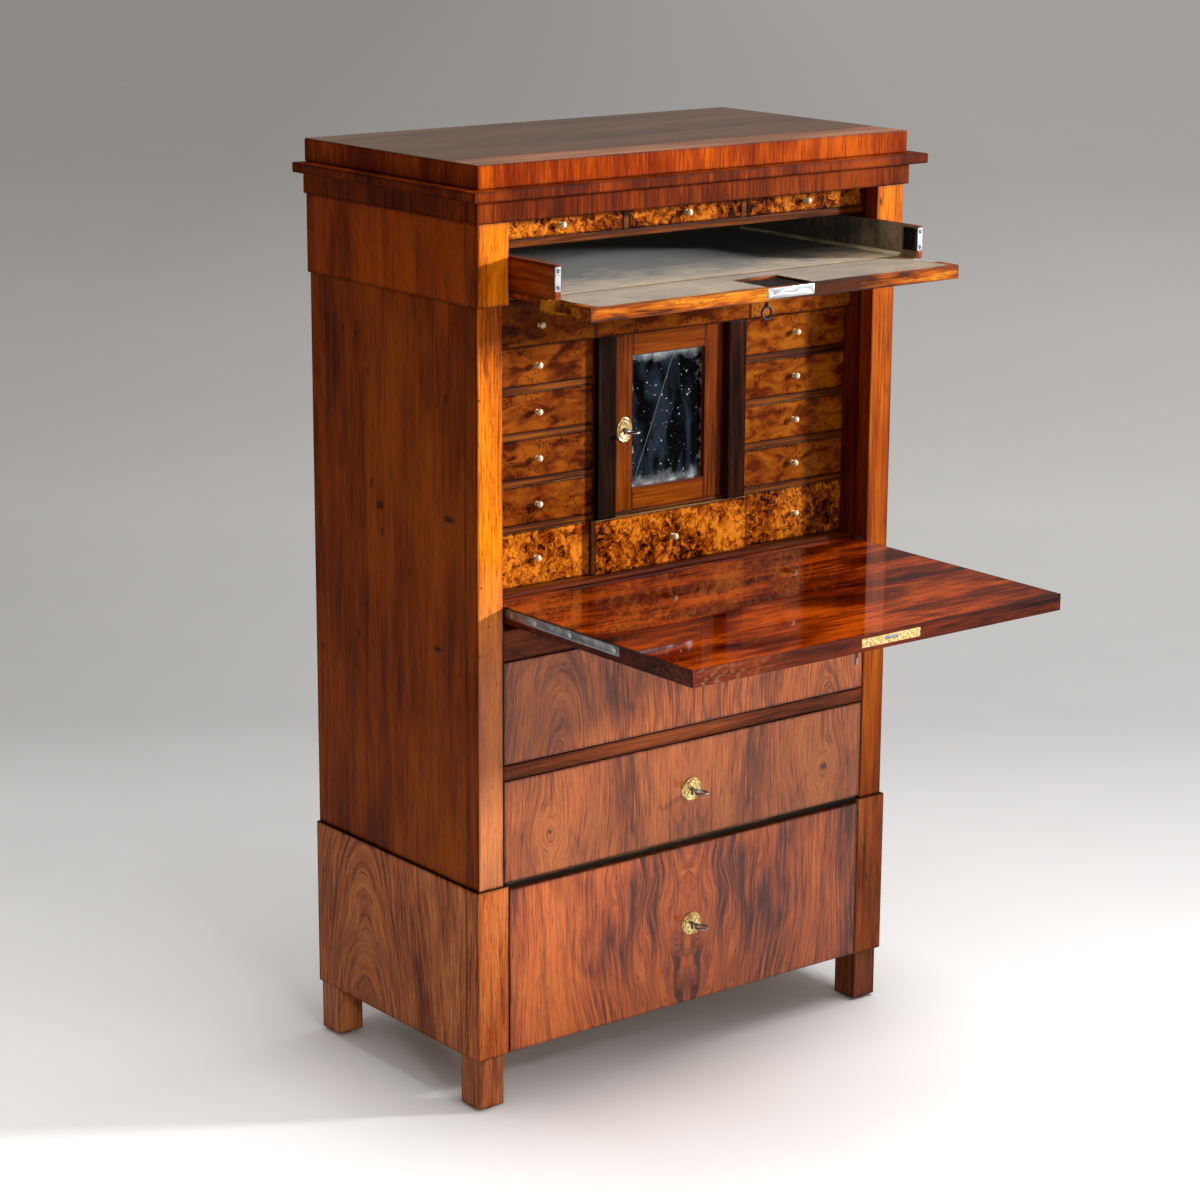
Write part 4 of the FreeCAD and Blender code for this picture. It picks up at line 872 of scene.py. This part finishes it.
silver = add(tree, "Mix", {0: bare, 6: smear, 7: "#b4b8bc"}, out=2, data_type="RGBA")
shine = add(tree, "MapRange", [bare, 0.0, 1.0, 0.9, 0.1])
haze = add(tree, "MapRange", [bare, 0.0, 1.0, 0.06, 0.5])
feed(shader, {"Base Color": silver, "Metallic": shine, "Roughness": haze, "Specular IOR Level": 0.2})
dress("old_mirror_glass", "door_mirror", "door", "mirror_glass", [old_mirror], along="z", edge=0.0006)
dress("door_lock_and_pins", "door_fittings", "door", "gilt_brass", [gilt_brass, iron, steel, steel],
      edge=0.0006, pick=lambda n, normal: n, rounded=True, only=(1, 2, 3))
keyhole_x, keyhole_z = -0.085, 0.983
oval = rose("door_rose", (keyhole_x, 0.06, keyhole_z), (0.0145, 0.02), 0.0025)
fit(oval, "door", "gilt_brass")
oval_sizes = {"Half width": 0.0128, "Half height": 0.0177, "Bead": 0.00095, "Count": 40}
oval_spot = (keyhole_x, 0.0585, keyhole_z)
oval_rim = grown("door_rose_beads", beaded_rim, [oval_spot], gilt_brass, oval_sizes)
fit(oval_rim, "door", "gilt_brass")

# WRITING TRAY AND DROP FRONT
# A shallow tray that slides out of the frieze, its front hinged to drop level, both lined with worn baize.
# Steel catches with black iron boxes sit on its side ends, and a steel-plated lock in the front's edge.


def baize(name, dark, light, stain):
    """Old woollen baize glued down: dull cloth, rubbed pale in patches and streaks, with painted shade
    towards the back.

    Its felted weave is drawn 3 mm coarse, because real threads of 0.5 mm would not show. The rubbed patches
    are about 90 mm across.
    """
    made, tree, shader = material(name)
    spot = add(tree, "TexCoord", out="Object")
    threads = {"Vector": spot, "Scale": 105.0, "Distortion": 3.0, "Detail": 2.0}
    warp = add(tree, "TexWave", threads, out="Fac", bands_direction="X")
    weft = add(tree, "TexWave", threads, out="Fac", bands_direction="Y")
    weave = add(tree, "Math", [warp, weft], "MULTIPLY")
    worn = add(tree, "TexNoise", {"Vector": spot, "Scale": 11.0, "Detail": 7.0, "Roughness": 0.7})
    rubs = fibre_lines(tree, spot, (9, 110, 9), 5.0, Roughness=0.7)
    worn = add(tree, "Mix", {0: 0.4, 2: worn, 3: rubs})
    # Painted shade: the cloth darkens towards the back.
    depth = add(tree, "SeparateXYZ", [spot], out=1)
    back_painted_shade = add(tree, "MapRange", [depth, -0.06, 0.12, 0.0, 0.22])
    worn = add(tree, "Math", [worn, back_painted_shade], "SUBTRACT")
    colour = add(tree, "ValToRGB", [worn], stops=[(0.35, stain), (0.62, light), (0.47, dark)])
    shade = {0: 0.35, 6: colour, 7: weave}
    colour = add(tree, "Mix", shade, out=2, data_type="RGBA", blend_type="OVERLAY")
    bump = add(tree, "Bump", {"Height": weave, "Strength": 0.5, "Distance": 0.0006})
    feed(shader, {"Base Color": colour, "Roughness": 0.95, "Sheen Weight": 0.15, "Normal": bump})
    return made


# Tray sides give a plain red-brown, the drop front's edge a golden streaky brown, its outside a matched leaf.
tray_walnut = veneer("tray_side_walnut", "#4c1602", "#853103", "#a84f09", band=0.012, stretch=18, vein=0.3)
drop_veneer = veneer("drop_front_leaf", "#3c1701", "#8e4204", "#bc7616", band=0.014, stretch=6, vein=0.5,
                     cloud=0.9, flecks=0.9, gloss=0.05, coat=0.05)
drop_outer = veneer("drop_front_outside", "#6e2c06", "#ab5812", "#c9741e", band=0.05, coat=0.3,
                    figure=matched(0.0, 0.22, -0.3, 0.4, 0.05, run=1), **outside)
tray_baize = baize("grey_green_baize", "#776445", "#97815c", "#372d1b")
drop_baize = baize("browned_baize", "#5e492b", "#826c43", "#382812")

# Planed lime gives a pale straw colour with fibres drawn 3 by 40 mm.
pale_lime, tree, shader = material("pale_lime_fillet")
spot = add(tree, "TexCoord", out="Object")
fibres = fibre_lines(tree, spot, (300, 25, 300), 3.0)
straw = add(tree, "ValToRGB", [fibres], stops=[(0.35, "#8d7c5e"), (0.65, "#d2c4a0")])
feed(shader, {"Base Color": straw, "Roughness": 0.6})

# The tray's sides and back are lined on the faces that look inward.
inward = ((1, 0, 0), (-1, 0, 0), (1, 0, 0), (0, -1, 0))
dress("tray_boards", "tray_box", "tray", "walnut_veneer", [tray_walnut, tray_baize], edge=0.001,
      pick=lambda n, normal: int(n > 0 and normal.dot(inward[n]) > 0.8),
      along=lambda n: "x" if n in (0, 3) else "y")
dress("drop_front_veneered", "drop_front", "drop_panel", "golden_veneer", [drop_veneer, drop_outer],
      along="x", pick=lambda n, normal: int(normal.z < -0.5))
tray_cloth = dress("tray_baize", "tray_lining", "tray", "lining_cloth", [tray_baize], edge=0.0002)

# Fillets in the corners where the tray's sides meet its lining.
fillets = bmesh.new()
inside, floor_level = 0.334, 1.2224
fillet_ends = (-0.077, 0.29)
section = [(0.0, 0.0), (0.0055, 0.0), (0.005, 0.0015), (0.0025, 0.004), (0.0, 0.0045)]
for side in (1, -1):
    ends = []
    for y in fillet_ends:
        ends.append([fillets.verts.new((side * (inside - x), y, floor_level + z)) for x, z in section])
    for number in range(len(section)):
        fillets.faces.new([ends[0][number - 1], ends[0][number], ends[1][number], ends[1][number - 1]])
    for end in ends:
        fillets.faces.new(end)
bmesh.ops.recalc_face_normals(fillets, faces=fillets.faces)
fillet_mesh = bpy.data.meshes.new("tray_fillets")
fillets.to_mesh(fillet_mesh)
fillets.free()
fillet_mesh.materials.append(pale_lime)
fit(placed("tray_fillets", fillet_mesh), "tray", "golden_veneer")
drop_cloth = dress("drop_front_baize", "drop_lining", "drop_panel", "lining_cloth", [drop_baize],
                   edge=0.0002)
dress("tray_catch_plates", "tray_catches", "tray", "bright_steel", [steel, iron], edge=0.0006,
      pick=lambda n, normal: int(n >= 2))
sizes = {"Head": 0.0026, "Deep": 0.0012, "Turn": facing_front}
for hand, side in (("right", 1), ("left", -1)):
    spots = [(side * 0.339, -0.1128, z) for z in (1.2385, 1.2615)]
    fit(grown(f"catch_screws_{hand}", slotted_screws, spots, iron, sizes), "tray", "bright_steel")
dress("drop_lock_plate", "drop_lock", "drop_panel", "bright_steel", [steel, iron], only=(0, 1),
      pick=lambda n, normal: n, edge=0.0004, rounded=True)
fit(rose("drop_rose", (0.0, -0.158, 1.2005), (0.014, 0.014), 0.002, "down"), "drop_panel", "gilt_brass")
dress("drop_bolt_steel", "drop_bolt", "drop_bolt", "bright_steel", [steel], edge=0.0006)
spots = [(x, -0.1915, 1.2115) for x in (-0.0186, 0.0516)]
sizes = {"Head": 0.0027, "Deep": 0.0014, "Turn": facing_front}
fit(grown("drop_plate_screws", slotted_screws, spots, steel, sizes), "drop_panel", "bright_steel")

# STUDIO
# A plain pale floor that runs far back, small lamps at the right and the left, and soft light from above.
# The camera stands to the left of the piece at about eye height, as the photograph was taken.
# Painted board gives a near-white with faint scuffs of 0.33 m, falling off to grey behind the piece: painted
# shade.
floor_paint, tree, shader = material("pale_floor")
spot = add(tree, "TexCoord", out="Object")
scuff = add(tree, "TexNoise", {"Vector": spot, "Scale": 3.0, "Detail": 3.0})
scuff = add(tree, "ValToRGB", [scuff], stops=[(0.3, "#f4f4f5"), (0.7, "#f8f8f9")])
away, rightward = (0.616, 0.788, 0), (0.788, -0.616, 0)
depth = add(tree, "VectorMath", [spot, away], "DOT_PRODUCT", out="Value")
aside = add(tree, "VectorMath", [spot, rightward], "DOT_PRODUCT", out="Value")
sweep = add(tree, "MapRange", [depth, 0.1, 1.8, 0.0, 0.3])
grey = add(tree, "Mix", {0: sweep, 6: scuff, 7: "#8d8b88"}, out=2, data_type="RGBA")
# A painted glow that only the eye and reflections see, fading behind the piece and brighter to the right.
shown = add(tree, "LightPath", out=None)
seen = add(tree, "Math", [shown["Is Camera Ray"], shown["Is Glossy Ray"]], "MAXIMUM")
painted_glow_fade = add(tree, "MapRange", [depth, -0.5, 11.5])
levels = [(0.04, 0.36), (1.0, 0.2), (0.11, 0.17), (0.19, 0.08), (0.36, 0.24), (0.6, 0.26)]
painted_glow_fade = add(tree, "ValToRGB", [painted_glow_fade], stops=levels)
wide = add(tree, "MapRange", [aside, -2.0, 2.0, 0.75, 1.25])
# Painted shade: the glow is darkened where the piece stands close.
close = 0.22
painted_contact_shade = add(tree, "AmbientOcclusion", {"Distance": close}, out="AO", samples=8)
painted_contact_shade = add(tree, "Math", [painted_contact_shade, 1.5], "POWER")
for share in (painted_glow_fade, wide, painted_contact_shade):
    seen = add(tree, "Math", [seen, share], "MULTIPLY")
feed(shader, {"Base Color": grey, "Roughness": 0.6, "Specular IOR Level": 0.25, "Emission Strength": seen,
              "Emission Color": "#faf8f6"})
span = 60.0
corners = [(-span, -span, 0), (span, -span, 0), (span, span, 0), (-span, span, 0)]
floor_mesh = bpy.data.meshes.new("floor")
floor_mesh.from_pydata(corners, [], [(0, 1, 2, 3)])
floor_mesh.materials.append(floor_paint)
floor = placed("studio_floor", floor_mesh)
floor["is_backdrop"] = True

world = bpy.data.worlds.new("grey_studio")
bpy.context.scene.world = world
world.use_nodes = True
feed(world.node_tree.nodes["Background"], {"Color": "#a8a29a", "Strength": 0.42})
for name, place, aim, size, spread, power in (
    ("key_lamp", (3.4, -2.3, 1.9), (-1.1, 0.0, 0.98), 0.4, 31, 19.0),
    ("left_lamp", (-1.6, -4.6, 1.4), (0.3, 0.0, 0.6), 0.6, 180, 44.0),
    ("top_lamp", (0.8, -0.9, 4.2), (0.8, -0.9, 0.0), 3.0, 180, 155.0),
):
    lamp = bpy.data.lights.new(name, "AREA")
    lamp.shape = "SQUARE"
    lamp.size = size
    lamp.spread = math.radians(spread)
    lamp.energy = power
    stand = placed(name, lamp)
    stand.location = place
    stand.rotation_euler = (Vector(place) - Vector(aim)).to_track_quat("Z", "Y").to_euler()

eye_spot = (-2.9717, -3.5780, 1.9103)
azimuth = math.radians(-38.013)
elevation = math.radians(14.330)
roll = math.radians(0.308)
level = math.cos(elevation)
right = Vector((math.cos(azimuth), math.sin(azimuth), 0))
back = Vector((math.sin(azimuth) * level, -math.cos(azimuth) * level, math.sin(elevation)))
up = back.cross(right)
across = math.cos(roll) * right + math.sin(roll) * up
upward = math.cos(roll) * up - math.sin(roll) * right
lens = bpy.data.cameras.new("camera")
lens.sensor_width = 36.0
lens.lens = 96.19
lens.clip_end = 200.0
camera = placed("camera", lens)
camera.matrix_world = Matrix.Translation(eye_spot) @ Matrix((across, upward, back)).transposed().to_4x4()
bpy.context.scene.camera = camera
bpy.context.scene.view_settings.view_transform = "Standard"

sizes = {"cad": [list(corner) for corner in cad_box], "visual": [list(corner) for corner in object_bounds()]}
